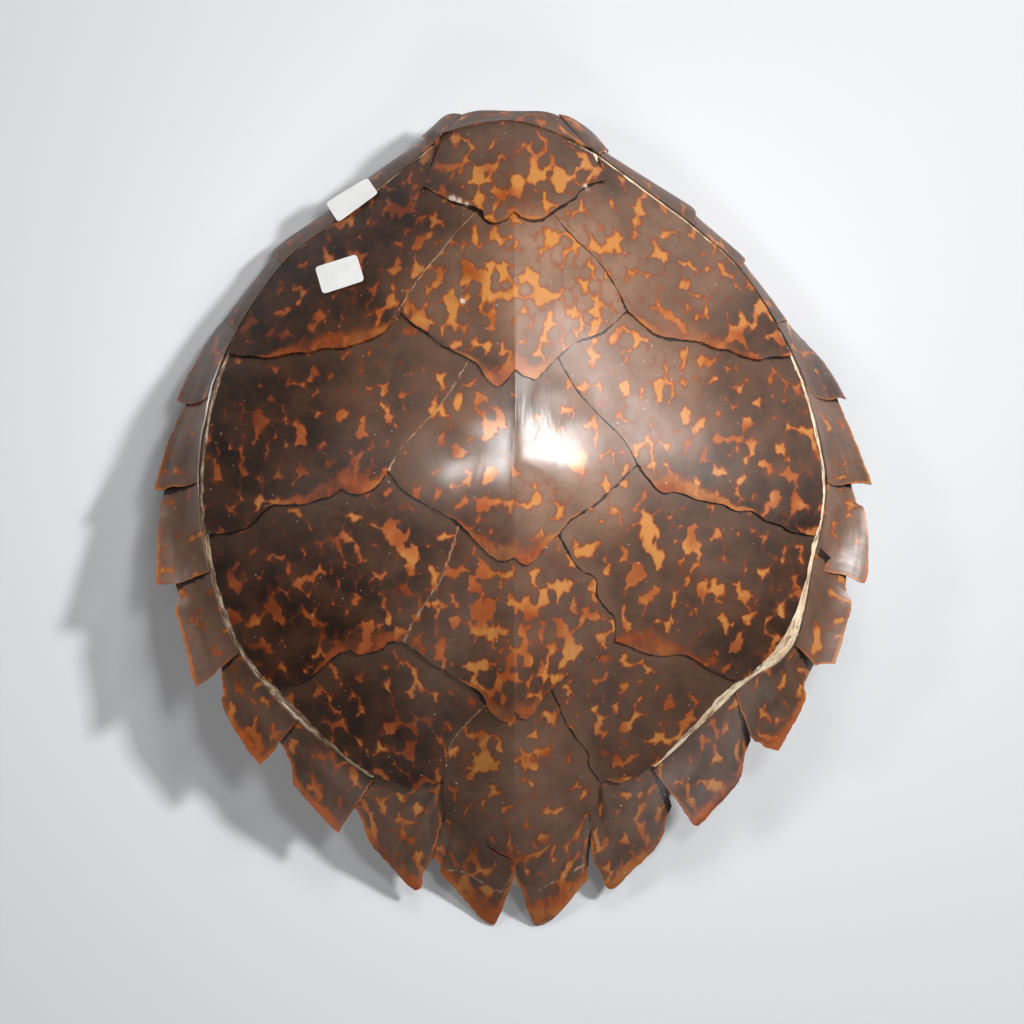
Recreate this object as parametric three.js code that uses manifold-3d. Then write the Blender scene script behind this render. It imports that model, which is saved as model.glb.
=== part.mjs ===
// Upper shell of a sea turtle: keratin scutes, lapped like roof tiles, over one grown-together bony dome.
// Millimetres, +Z up, +Y towards the head. The origin is on the ground, under the middle of the shell.
import * as THREE from 'three';
import { mergeVertices } from 'three/addons/utils/BufferGeometryUtils.js';
import Module from 'manifold-3d';

// ---- driving dimensions -----------------------------------------------------------------------------
const domeTop = 152;            // height of the dome's smooth top above the ground
const domeCentreY = 44;         // the highest point lies in front of the shell's middle
const keelRise = 6;             // the ridge along the midline stands this far above the dome
const keelWidth = 34;           // and fades out over this distance to each side
const frontFullness = 0.5;      // the dome stays high and falls steeply towards the neck,
const rearFullness = 0.2;       // and slopes more evenly towards the tail

const scuteThickness = 1.8;
const freeEdgeLift = 3.4;       // a scute's rear edge rides this far above the front of the next one
const rearmostLift = 5.2;       // the last side and midline scutes ride over the edge scutes as well
const seamEdgeLift = 1.4;       // an edge scute laps less, and is thinner, along the seam
const seamEdgeThickness = 0.8;
const lapLength = 6;            // how far a scute's front runs under the one before it
const edgeLap = 3.5;            // the same for an edge scute, and for one on the steep flanks by the neck
const flankLap = 2.5;
const sutureGap = 0.35;         // half the hairline between scutes that meet side by side
const boneClearance = 3.7;      // from the scutes' base surface down to the bone
const boneThickness = 5.5;
const seamRidge = 1;            // the bone rises this much closer to the scutes along the bare seam
const spineDepth = 9;           // the backbone stands this far into the hollow, along the midline,
const spineWidth = 17;          // this wide where it meets the dome,
const spineInnerWidth = 10;     // and this wide at its inner face
const spineSlimming = 0.35;     // it loses this share of its width towards the neck and the tail
const spineSink = 2.5;          // it starts this deep in the dome's bone
const spineFrom = 238;
const spineTo = -200;
const boneRimReach = 0.5;       // the bone's edge reaches this far out under the edge scutes

const nuchalLift = 2.4;

const labelThickness = 0.5;
const sideLabelLift = 3.4;

const keratin = { roughness: 0.28, metalness: 0 };
const bone = { roughness: 0.8, metalness: 0 };
const paper = { roughness: 0.7, metalness: 0 };
const darkKeratin = 0x3d2a20;
const amberKeratin = 0x7a4524;
const boneColour = 0xcfc0a2;
const paperColour = 0xf1efe9;

// ---- the seam between the dome and the edge scutes --------------------------------------------------
// One station for each joint between two edge scutes, from the neck to the tail: x, y, z, and the width of
// bare bone that shows on each side of the seam's line.
const seam = {
  right: [
    [51, 259, 60, 1.0], [59, 253, 57, 1.0], [125, 204, 42, 1.0], [157.5, 174.5, 38, 1.0],
    [182.5, 136, 45, 1.2], [203.5, 89, 60, 1.6], [216, 25, 74, 1.8], [208.5, -23.5, 82, 2.0],
    [191, -86, 83, 4.2], [152, -120.5, 75, 3.4], [96, -174.5, 58, 2.2], [53, -203, 45, 1.0],
    [0, -238, 38, 1.0],
  ],
  left: [
    [-50.5, 269, 60, 1.0], [-58, 260, 57, 1.0], [-124, 209, 42, 1.0], [-162, 178.5, 38, 1.0],
    [-194, 131, 45, 1.2], [-212, 84, 60, 2.8], [-219, 25, 74, 2.4], [-211.5, -37, 82, 2.0],
    [-190.5, -93, 83, 2.0], [-150, -140, 75, 2.4], [-98.5, -181.5, 58, 2.0], [-49, -204, 45, 1.0],
    [0, -238, 38, 1.0],
  ],
};
const seamAtNeck = [0, 277, 63, 1.0];

// ---- the edge scutes' outer corners -----------------------------------------------------------------
// For each edge scute from the neck back: the tip of its rear corner, and how far along that rear edge, from
// seam to tip, the next scute's front corner sits.
const tips = {
  right: [
    [63.5, 255.5, 28, 1], [121, 218, 9, 1], [158.5, 181, 0.5, 1], [190, 136.5, 9, 1], [229, 81, 30, 0.9],
    [247, 21, 49, 0.82], [243, -46.5, 66, 0.69], [221.5, -102.5, 69, 0.6], [182.5, -162, 58, 0.63],
    [126.5, -214, 37, 0.6], [66.5, -259, 12, 0.56], [15.5, -285.5, -1.2, 1],
  ],
  left: [
    [-63.5, 266.5, 28, 1], [-130, 218, 9, 1], [-169, 187, 0.8, 1], [-202, 139, 9, 1], [-234.5, 80, 30, 0.82],
    [-250, 19, 49, 0.85], [-247, -48, 66, 0.71], [-221, -118, 69, 0.52], [-176, -172, 58, 0.52],
    [-122.5, -220, 37, 0.57], [-69.5, -260.5, 12, 0.62], [-14.5, -285.5, -1.2, 1],
  ],
};
const neckCorner = { right: [30, 281, 38], left: [-38, 282, 38] };
const neckMiddle = [0, 283.5, 44];

// How far each edge scute is hollowed across its width at its rear edge: the steep front ones bulge, the
// flared ones dish. Its outer edge bows out between its corners.
const dish = [-2.5, -3, -3, -2, 2, 4, 5, 3.5, 2.5, 1.5, 1, 0.5];
const outerBow = [0, 1, 1, 1, 2, 3, 3.5, 3.5, 5, 5, 5, 5];
const tailSplit = 4.5;          // the last pair touch behind the dome and part towards their tips

// ---- the free rear edges and the side seams of the scutes on the dome, as seen from above -----------
// Vertebral rear edges run from the left corner to the right one, with the keel's notch in the middle.
const vertebralRear = [
  { left: [[-65, 231], [-51, 223.5], [-34, 216], [-18, 206.5]], notch: 210,
    right: [[16, 205.5], [29, 212.5], [48, 227], [70, 239]] },
  { left: [[-79.5, 143.5], [-56, 124], [-29, 107.5], [-10.5, 90.5]], notch: 101,
    right: [[12.5, 95.5], [28.5, 110], [51, 125], [77, 143]] },
  { left: [[-87.5, 33], [-57, 7.5], [-29, -13], [-10.5, -29]], notch: -26,
    right: [[8.5, -31.5], [25, -15], [50, 7], [84, 37]] },
  { left: [[-76, -86], [-48.5, -105.5], [-21.5, -123], [-8.5, -140]], notch: -132,
    right: [[7.5, -138], [23, -120], [45, -102.5], [68.5, -86]] },
  { left: [[-49.5, -180], [-49.5, -199], [-38, -213], [-20, -228.5]], notch: -242,
    right: [[21, -229.5], [40, -213], [56, -200], [59, -184]] },
];
// Where the next vertebral's side seam starts on each rear edge, and the seam's course to its rear corner.
const vertebralSide = {
  left: [
    [[-26.5, 212], [-45, 192], [-65, 167], [-79.5, 143.5]],
    [[-32, 109.5], [-45, 86.5], [-66, 61], [-87.5, 33]],
    [[-37.5, -6], [-52, -42], [-66, -64], [-76, -86]],
    [[-20, -129], [-36, -146], [-48, -166], [-49.5, -180]],
  ],
  right: [
    [[26, 211], [46, 189], [66, 165], [77, 143]],
    [[29.5, 111], [42, 88.5], [64, 64], [84, 37]],
    [[29.5, -10.5], [43, -34], [61, -62], [68.5, -86]],
    [[24.5, -127], [39, -147], [52, -171], [59, -184]],
  ],
};
// Costal rear edges, from the side seam's outer end to the vertebral's corner.
const costalRear = {
  left: [
    [[-199.5, 115], [-180, 111.5], [-153, 114.5], [-124, 118.5], [-97, 125.5], [-79.5, 143.5]],
    [[-210, -12], [-185, -5], [-170, 7.5], [-145, 9.5], [-119, 18.5], [-104, 17.5], [-87.5, 33]],
    [[-165, -112], [-147, -113], [-132, -103], [-117, -92], [-98, -92.5], [-76, -86]],
    [[-98, -180], [-84, -185], [-70, -189], [-59, -186], [-49.5, -180]],
  ],
  right: [
    [[190, 112], [172, 110.5], [150, 115], [128, 121.5], [97, 127], [77, 143]],
    [[208, -11.5], [188, -8], [166, 3], [142, 7.5], [120, 15], [102, 18.5], [84, 37]],
    [[160, -113], [147, -110], [130, -101], [109, -96], [87, -92], [68.5, -86]],
    [[91, -181], [82, -184.5], [74, -187], [66, -187], [59, -184]],
  ],
};
// Where each costal's rear edge meets the seam, counted in edge scutes from the neck.
const costalSeamEnd = { left: [4.36, 6.6, 8.45, 10.02], right: [4.52, 6.8, 8.85, 10.06] };
// The first costal starts behind the first edge scute; on the left it also runs along the first vertebral.
const firstCostalStart = { left: 0.95, right: 1.2 };
const firstVertebralFront = { left: [-50, 266.5], right: [50, 257.5] };

// ---- labels: middle, heading and size of each -------------------------------------------------------
const labelSide = { x: -121, y: 168.5, turn: 17, length: 32, width: 22 };
const labelFront = {            // stuck down along the seam, its outer edge standing off the steep rim
  inner: [[-123.9, 206.9, 48.1], [-95.9, 227.2, 54.6]],
  outer: [[-132.9, 220.9, 33.5], [-103.5, 238.4, 40]],
};

// ---- helpers ----------------------------------------------------------------------------------------
const v2 = ([x, y]) => new THREE.Vector2(x, y);
const v3 = ([x, y, z]) => new THREE.Vector3(x, y, z);
const lerp = THREE.MathUtils.lerp;
const smooth = (x) => THREE.MathUtils.smoothstep(x, 0, 1);
const sides = ['right', 'left'];

// The seam as one closed loop, right side back to the tail, then the left side forward to the neck. Its
// parameter s counts edge scutes from the neck along one side.
const loopStations = [seamAtNeck, ...seam.right, ...seam.left.slice(0, -1).reverse()];
const loopCurve = new THREE.CatmullRomCurve3(loopStations.map(v3), true, 'catmullrom', 0.5);
const loopCount = loopStations.length;
const stationOnLoop = (side, s) => (side === 'right' ? 1 + s : loopCount - 1 - s);
const seamPoint = (side, s) => loopCurve.getPoint(stationOnLoop(side, s) / loopCount);

function gapAt(side, s) {
  const low = THREE.MathUtils.clamp(Math.floor(s), 0, 11);
  return lerp(seam[side][low][3], seam[side][low + 1][3], smooth(THREE.MathUtils.clamp(s - low, 0, 1)));
}

// The seam's distance from the dome's centre and its height, by compass angle.
const angleSteps = 720;
const seamByAngle = (() => {
  const samples = Array.from({ length: 2000 }, (_, i) => {
    const p = loopCurve.getPoint(i / 2000);
    return { angle: Math.atan2(p.y - domeCentreY, p.x), radius: Math.hypot(p.x, p.y - domeCentreY), z: p.z };
  }).sort((a, b) => a.angle - b.angle);
  let next = 0;
  return Array.from({ length: angleSteps }, (_, i) => {
    const angle = -Math.PI + (2 * Math.PI * i) / angleSteps;
    while (next < samples.length - 1 && samples[next].angle < angle) next += 1;
    return samples[next];
  });
})();

function seamAround(angle) {
  const place = ((angle + Math.PI) / (2 * Math.PI)) * angleSteps;
  const low = Math.floor(place);
  const a = seamByAngle[low % angleSteps];
  const b = seamByAngle[(low + 1) % angleSteps];
  return { radius: lerp(a.radius, b.radius, place - low), z: lerp(a.z, b.z, place - low) };
}

// Height of the scutes' base surface over the plan.
function domeHeight(x, y) {
  const angle = Math.atan2(y - domeCentreY, x);
  const edge = seamAround(angle);
  const out = Math.hypot(x, y - domeCentreY) / edge.radius;
  const frontness = Math.max(0, Math.sin(angle)) ** 2;
  const rearness = Math.max(0, -Math.sin(angle)) ** 2;
  const fullness = 2.2 + frontFullness * frontness - rearFullness * rearness;
  const dome = edge.z + (domeTop - edge.z) * (1 - out ** fullness);
  const keel = keelRise * Math.exp(-Math.abs(x) / keelWidth) * (1 - Math.min(out, 1) ** 4);
  return dome + keel;
}

const onDome = (p) => new THREE.Vector3(p.x, p.y, domeHeight(p.x, p.y));

function domeNormal(p) {
  const reach = 1.5;
  const slopeX = (domeHeight(p.x + reach, p.y) - domeHeight(p.x - reach, p.y)) / (2 * reach);
  const slopeY = (domeHeight(p.x, p.y + reach) - domeHeight(p.x, p.y - reach)) / (2 * reach);
  return new THREE.Vector3(-slopeX, -slopeY, 1).normalize();
}

// Turns a normal to point away from the middle of the hollow under the dome.
const hollowMiddle = new THREE.Vector3(0, domeCentreY, 40);
const facingOut = (normal, p) => (normal.dot(p.clone().sub(hollowMiddle)) < 0 ? normal.negate() : normal);

// A plan curve through points, as a function of 0..1 that meets point i at i / (n - 1).
function planCurve(points) {
  const curve = new THREE.SplineCurve(points.map(v2));
  return (t) => curve.getPoint(t);
}

// Joins curves end to end, each taking a share of 0..1.
function chain(parts) {
  return (t) => {
    let from = 0;
    for (const [curve, share] of parts) {
      if (t <= from + share + 1e-9) return curve((t - from) / share);
      from += share;
    }
    return parts[parts.length - 1][0](1);
  };
}

// A surface patch between four edge curves: u runs from side a to side b, v from the front to the rear.
function patch(front, rear, sideA, sideB) {
  const corner = { fa: front(0), fb: front(1), ra: rear(0), rb: rear(1) };
  return (u, v) => {
    const inside = THREE.MathUtils.clamp(v, 0, 1);
    return front(u).clone().multiplyScalar(1 - inside).addScaledVector(rear(u), inside)
      .addScaledVector(sideA(inside), 1 - u).addScaledVector(sideB(inside), u)
      .addScaledVector(corner.fa, -(1 - u) * (1 - inside)).addScaledVector(corner.fb, -u * (1 - inside))
      .addScaledVector(corner.ra, -(1 - u) * inside).addScaledVector(corner.rb, -u * inside);
  };
}

// Carries a patch on under the scute in front: row 0 lies lapLength ahead of v = 0, where lapAt(u) is 1.
// Where it is 0 the patch stops at v = 0.
const stubRow = 0.07;

function lapped(surface, rows, lapAt) {
  const step = 0.04;
  return (u, row) => {
    const lap = lapAt(u);
    if (row > 1) return surface(u, (row - 1) / (rows - 1));
    if (row === 1) return surface(u, stubRow * (1 - lap));
    const at = surface(u, 0);
    const ahead = at.clone().sub(surface(u, step));
    return lap > 0 ? at.add(ahead.setLength(lapLength * lap)) : at;
  };
}

// A suture's edge point, drawn in towards its neighbour to leave the hairline.
const drawnIn = (p, neighbour) => p.clone().add(neighbour.clone().sub(p).setLength(sutureGap));

// A plate of columns by rows cells. place(column, row) gives its base surface in space, normalAt the way out
// of it; lift and thickness, in millimetres along that, may vary over it.
function plate(columns, rows, place, normalAt, lift, thickness) {
  const index = (column, row) => row * (columns + 1) + column;
  const top = [];
  const bottom = [];
  for (let row = 0; row <= rows; row += 1) {
    for (let column = 0; column <= columns; column += 1) {
      const at = place(column, row);
      const normal = normalAt(at, column, row);
      const raise = lift(column / columns, row / rows);
      top.push(at.clone().addScaledVector(normal, raise));
      bottom.push(at.clone().addScaledVector(normal, raise - thickness(column / columns, row / rows)));
    }
  }
  const middle = index(Math.floor(columns / 2), Math.floor(rows / 2));
  const across = top[middle + 1].clone().sub(top[middle]);
  const back = top[middle + columns + 1].clone().sub(top[middle]);
  const turned = back.cross(across).dot(top[middle].clone().sub(bottom[middle])) < 0;
  const count = top.length;
  const faces = [];
  const quad = (a, b, c, d) => faces.push(...(turned ? [a, c, b, a, d, c] : [a, b, c, a, c, d]));
  for (let row = 0; row < rows; row += 1) {
    for (let column = 0; column < columns; column += 1) {
      const [a, b] = [index(column, row), index(column + 1, row)];
      const [d, c] = [index(column, row + 1), index(column + 1, row + 1)];
      quad(a, d, c, b);
      quad(count + a, count + b, count + c, count + d);
    }
  }
  const wall = (a, b) => quad(a, b, count + b, count + a);
  for (let column = 0; column < columns; column += 1) {
    wall(index(column, 0), index(column + 1, 0));
    wall(index(column + 1, rows), index(column, rows));
  }
  for (let row = 0; row < rows; row += 1) {
    wall(index(0, row + 1), index(0, row));
    wall(index(columns, row), index(columns, row + 1));
  }
  return meshOf([...top, ...bottom].flatMap((p) => [p.x, p.y, p.z]), faces);
}

function meshOf(positions, faces) {
  const geometry = new THREE.BufferGeometry();
  geometry.setAttribute('position', new THREE.Float32BufferAttribute(positions, 3));
  geometry.setIndex(faces);
  geometry.computeVertexNormals();
  return geometry;
}

const solids = await Module();
solids.setup();

// Two closed meshes grown into one.
function joined(...geometries) {
  const [a, b] = geometries.map((geometry) => {
    geometry.deleteAttribute('normal');
    const merged = mergeVertices(geometry);
    return new solids.Manifold(new solids.Mesh({
      numProp: 3,
      vertProperties: new Float32Array(merged.attributes.position.array),
      triVerts: new Uint32Array(merged.index.array),
    }));
  });
  const { vertProperties, triVerts } = a.add(b).getMesh();
  return meshOf([...vertProperties], [...triVerts]);
}

const shell = new THREE.Group();

function addPiece(name, geometry, colour, finish) {
  const mesh = new THREE.Mesh(geometry, new THREE.MeshStandardMaterial({ color: colour, ...finish }));
  mesh.name = name;
  shell.add(mesh);
}

// Lift over a dome scute: level with the next one at the front, riding over it at the rear.
const domeLift = (rearLift) => (u, v) => rearLift * smooth(v);
const evenThickness = () => scuteThickness;

// ---- vertebral scutes -------------------------------------------------------------------------------
const cellsPerHalf = 4;
// Rows of cells: a costal and the vertebral beside it have the same number, so their suture's corners meet.
const vertebralRows = [6, 8, 7, 6, 6];
const costalRows = vertebralRows.slice(1);
const line = (a, b) => (t) => v2(a).lerp(v2(b), t);

// The stretch of a rear edge that lies over the next vertebral's front: from its side seam to the notch.
function tuckedFront(n, side) {
  const rear = vertebralRear[n];
  const start = vertebralSide[side][n][0];
  return side === 'left'
    ? planCurve([start, rear.left[3], [0, rear.notch]])
    : planCurve([[0, rear.notch], rear.right[0], start]);
}

// The seam line moved in by the bare bone's half width, between two places on it.
function seamSide(side, from, to) {
  return (t) => {
    const s = lerp(from, to, t);
    const p = v2(seamPoint(side, s).toArray());
    const inward = new THREE.Vector2(0, domeCentreY).sub(p).normalize();
    return p.addScaledVector(inward, gapAt(side, s));
  };
}

function addVertebral(n) {
  const isFirst = n === 0;
  const rows = vertebralRows[n];
  const rear = vertebralRear[n];
  const frontY = isFirst ? seamAtNeck[1] - seamAtNeck[3] : vertebralRear[n - 1].notch;
  const keel = line([0, frontY], [0, rear.notch]);
  const front = {
    left: isFirst ? seamSide('left', 0, -1) : tuckedFront(n - 1, 'left'),
    right: isFirst ? seamSide('right', -1, 0) : tuckedFront(n - 1, 'right'),
  };
  const outer = {
    left: isFirst ? line(firstVertebralFront.left, rear.left[0]) : planCurve(vertebralSide.left[n - 1]),
    right: isFirst ? line(firstVertebralFront.right, rear.right[3]) : planCurve(vertebralSide.right[n - 1]),
  };
  const lapAt = () => (isFirst ? 0 : 1);
  const leftHalf = lapped(
    patch(front.left, planCurve([...rear.left, [0, rear.notch]]), outer.left, keel), rows, lapAt);
  const rightHalf = lapped(
    patch(front.right, planCurve([[0, rear.notch], ...rear.right]), keel, outer.right), rows, lapAt);
  const across = (column, row) => {
    const half = column / cellsPerHalf;
    return half <= 1 ? leftHalf(half, row) : rightHalf(half - 1, row);
  };
  const columns = 2 * cellsPerHalf;
  const place = (column, row) => {
    const p = across(column, row);
    if (column === 0) return onDome(drawnIn(p, across(1, row)));
    return onDome(column === columns ? drawnIn(p, across(columns - 1, row)) : p);
  };
  const lift = domeLift(n === 4 ? rearmostLift : freeEdgeLift);
  const geometry = plate(columns, rows, place, domeNormal, lift, evenThickness);
  addPiece(`vertebral_scute_${n + 1}`, geometry, darkKeratin, keratin);
}
for (let n = 0; n < 5; n += 1) addVertebral(n);

// ---- costal scutes ----------------------------------------------------------------------------------
const costalColumns = 8;
const frontShare = 5 / 8;       // of a costal's front edge lies under the costal before it, the rest under
                                // a vertebral

// A costal's front edge, from the seam inwards.
function costalFront(side, n, start) {
  const edge = vertebralRear[n][side];
  const [corner, middle] = side === 'left' ? [edge[0], edge[1]] : [edge[3], edge[2]];
  const sideStart = vertebralSide[side][n][0];
  if (n > 0) {
    return chain([
      [planCurve([start, ...costalRear[side][n - 1].slice(1)]), frontShare],
      [planCurve([corner, middle, sideStart]), 1 - frontShare],
    ]);
  }
  if (side === 'right') return planCurve([start, middle, sideStart]);
  return chain([
    [line(firstVertebralFront.left, corner), 1 - frontShare],
    [planCurve([corner, middle, sideStart]), frontShare],
  ]);
}

function addCostal(side, n) {
  const ends = costalSeamEnd[side];
  const outer = seamSide(side, n === 0 ? firstCostalStart[side] : ends[n - 1], ends[n]);
  const front = costalFront(side, n, outer(0).toArray());
  const rear = planCurve([outer(1).toArray(), ...costalRear[side][n].slice(1)]);
  // The first costal butts against the first vertebral's side and laps only under its rear edge.
  const butt = side === 'left' ? 1 - frontShare : 0;
  const lapAt = (u) => (n === 0 ? smooth((u - butt) * 5) : 1);
  const rows = costalRows[n];
  const surface = lapped(patch(front, rear, outer, planCurve(vertebralSide[side][n])), rows, lapAt);
  const place = (column, row) => {
    const p = surface(column / costalColumns, row);
    return onDome(column === costalColumns ? drawnIn(p, surface(1 - 1 / costalColumns, row)) : p);
  };
  const lift = domeLift(n === 3 ? rearmostLift : freeEdgeLift);
  const geometry = plate(costalColumns, rows, place, domeNormal, lift, evenThickness);
  addPiece(`costal_scute_${side}_${n + 1}`, geometry, darkKeratin, keratin);
}
for (const side of sides) {
  for (let n = 0; n < 4; n += 1) addCostal(side, n);
}

// ---- edge scutes ------------------------------------------------------------------------------------
// Where the edge scutes start: the seam line moved out by the bare bone's half width.
function seamEdge(side, s) {
  const p = seamPoint(side, s);
  const outward = new THREE.Vector3(p.x, p.y - domeCentreY, 0).normalize();
  return p.addScaledVector(outward, gapAt(side, s));
}

// Edge scute k's rear edge as a function of the share of its length from the seam out. k = -1 is the line
// between the nuchal scute and the first edge scute.
function rearLine(side, k) {
  const inner = seamEdge(side, k + 1);
  const outer = v3(k < 0 ? neckCorner[side] : tips[side][k]);
  const chord = outer.clone().sub(inner);
  const along = seamPoint(side, Math.min(k + 1.2, 12)).sub(seamPoint(side, k + 0.8));
  const normal = facingOut(along.cross(chord).normalize(), inner);
  const depth = k < 0 ? 0 : dish[k];
  const split = k === 11 ? tailSplit * Math.sign(outer.x) : 0;
  const at = (share) => {
    const hump = 4 * share * (1 - share);
    const p = inner.clone().addScaledVector(chord, share).addScaledVector(normal, -depth * hump);
    p.x -= split * hump;
    return p;
  };
  return { at, normal };
}

// Edge scute k's base surface: out runs from the seam to the rim, along from its front to its rear.
function marginalSurface(side, k) {
  const frontLine = rearLine(side, k - 1);
  const backLine = rearLine(side, k);
  const reach = k === 0 ? 1 : tips[side][k - 1][3];
  const bowDirection = frontLine.at(reach).add(backLine.at(1)).multiplyScalar(0.5)
    .sub(seamEdge(side, k + 0.5)).normalize();
  const inside = (out, along) => {
    const straight = seamEdge(side, k).lerp(seamEdge(side, k + 1), along);
    const seamBend = seamEdge(side, k + along).sub(straight);
    return frontLine.at(out * reach).lerp(backLine.at(out), along).addScaledVector(seamBend, 1 - out)
      .addScaledVector(bowDirection, out * outerBow[k] * 4 * along * (1 - along));
  };
  const step = 0.05;
  const lap = k < 4 ? flankLap : edgeLap;
  return (out, along) => {
    if (along >= 0) return inside(out, along);
    const at = inside(out, 0);
    return at.clone().add(at.sub(inside(out, step)).setLength(lap));
  };
}

function addMarginal(side, k) {
  const surface = marginalSurface(side, k);
  const columns = 4;
  const rows = 6;
  const isLast = k === 11;
  const medialInset = isLast ? 0.01 : 0;
  const place = (column, row) => {
    const along = k === 0 ? row / rows : (row - 1) / (rows - 1);
    return surface(column / columns, along * (1 - medialInset));
  };
  // Level at the front; at the rear the edge rides over the next scute, least where the seam hides it.
  const lift = (out, along) => lerp(seamEdgeLift, freeEdgeLift, smooth(out * 2)) * smooth(along);
  const thickness = (out) => lerp(seamEdgeThickness, scuteThickness, smooth(out * 2));
  const [frontNormal, backNormal] = [rearLine(side, k - 1).normal, rearLine(side, k).normal];
  const normalAt = (p, column, row) => frontNormal.clone().lerp(backNormal, row / rows).normalize();
  const name = isLast ? `supracaudal_scute_${side}` : `marginal_scute_${side}_${k + 1}`;
  addPiece(name, plate(columns, rows, place, normalAt, lift, thickness), amberKeratin, keratin);
}
for (const side of sides) {
  for (let k = 0; k < 12; k += 1) addMarginal(side, k);
}

// ---- nuchal scute -----------------------------------------------------------------------------------
{
  const loopFrom = stationOnLoop('left', 0) - loopCount;
  const loopTo = stationOnLoop('right', 0);
  const rim = new THREE.CatmullRomCurve3([v3(neckCorner.left), v3(neckMiddle), v3(neckCorner.right)]);
  const columns = 8;
  const rows = 3;
  const place = (column, row) => {
    const t = column / columns;
    const inner = loopCurve.getPoint(((lerp(loopFrom, loopTo, t) + loopCount) % loopCount) / loopCount);
    const outer = rim.getPoint(t);
    return outer.lerp(inner, row / rows);
  };
  const across = new THREE.Vector3(1, 0, 0);
  const normalAt = (p, column) => {
    const back = place(column, rows).sub(place(column, 0));
    return facingOut(back.cross(across).normalize(), p);
  };
  addPiece('nuchal_scute', plate(columns, rows, place, normalAt, () => nuchalLift, evenThickness),
    darkKeratin, keratin);
}

// ---- the bone ---------------------------------------------------------------------------------------
// Rings that follow the seam: smaller copies of it inside, and out under the edge scutes beyond it.
const ringInside = [0.22, 0.44, 0.64, 0.8, 0.92, 0.975];
const ringOutside = [0.06, 0.34, boneRimReach];
const stepsPerScute = 2;

function addBone() {
  const spokes = [];
  for (let i = 0; i < 12 * stepsPerScute; i += 1) spokes.push(['right', i / stepsPerScute]);
  for (let i = 12 * stepsPerScute; i > 0; i -= 1) spokes.push(['left', i / stepsPerScute]);
  spokes.push(['left', 0], ['left', -0.5], ['right', -1], ['right', -0.5]);

  const rings = [];
  for (const share of ringInside) {
    rings.push(spokes.map(([side, s]) => {
      const p = seamPoint(side, s);
      return onDome(new THREE.Vector2(p.x * share, lerp(domeCentreY, p.y, share)));
    }));
  }
  rings.push(spokes.map(([side, s]) => seamPoint(side, s)));
  for (const share of ringOutside) {
    rings.push(spokes.map(([side, s]) => {
      if (s < 0) {
        const across = side === 'right' ? 1 + s : -1 - s;
        const corner = v3(across > 0 ? neckCorner.right : neckCorner.left);
        return seamEdge(side, s).lerp(v3(neckMiddle).lerp(corner, Math.abs(across)), share);
      }
      const k = Math.min(Math.floor(s), 11);
      const seamBend = seamEdge(side, s).sub(seamEdge(side, k).lerp(seamEdge(side, k + 1), s - k));
      return rearLine(side, k - 1).at(share).lerp(rearLine(side, k).at(share), s - k)
        .addScaledVector(seamBend, 1 - share);
    }));
  }

  const ringCount = rings.length;
  const spokeCount = spokes.length;
  const topPoint = onDome(new THREE.Vector2(0, domeCentreY));
  const normalAt = (ring, spoke) => {
    const before = rings[ring][(spoke + spokeCount - 1) % spokeCount];
    const after = rings[ring][(spoke + 1) % spokeCount];
    const inner = ring === 0 ? topPoint : rings[ring - 1][spoke];
    const outer = rings[Math.min(ring + 1, ringCount - 1)][spoke];
    return facingOut(after.clone().sub(before).cross(outer.clone().sub(inner)).normalize(), outer);
  };
  const seamRing = ringInside.length;
  const positions = [];
  const push = (p) => positions.push(p.x, p.y, p.z);
  const up = new THREE.Vector3(0, 0, 1);
  push(topPoint.clone().addScaledVector(up, -boneClearance));
  rings.forEach((ring, r) => ring.forEach((p, s) => {
    const depth = r === seamRing ? boneClearance - seamRidge : boneClearance;
    push(p.clone().addScaledVector(normalAt(r, s), -depth));
  }));
  const half = positions.length / 3;
  push(topPoint.clone().addScaledVector(up, -boneClearance - boneThickness));
  rings.forEach((ring, r) => ring.forEach((p, s) => {
    push(p.clone().addScaledVector(normalAt(r, s), -boneClearance - boneThickness));
  }));
  const faces = [];
  const at = (ring, spoke) => 1 + ring * spokeCount + (spoke % spokeCount);
  const quad = (a, b, c, d) => {
    faces.push(a, b, c, a, c, d);
    faces.push(half + a, half + c, half + b, half + a, half + d, half + c);
  };
  for (let s = 0; s < spokeCount; s += 1) {
    faces.push(0, at(0, s + 1), at(0, s), half, half + at(0, s), half + at(0, s + 1));
    for (let r = 0; r < ringCount - 1; r += 1) quad(at(r, s), at(r, s + 1), at(r + 1, s + 1), at(r + 1, s));
    const [a, b] = [at(ringCount - 1, s), at(ringCount - 1, s + 1)];
    faces.push(a, b, half + b, a, half + b, half + a);
  }
  addPiece('carapace_bone', joined(meshOf(positions, faces), spineGeometry()), boneColour, bone);
}

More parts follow.
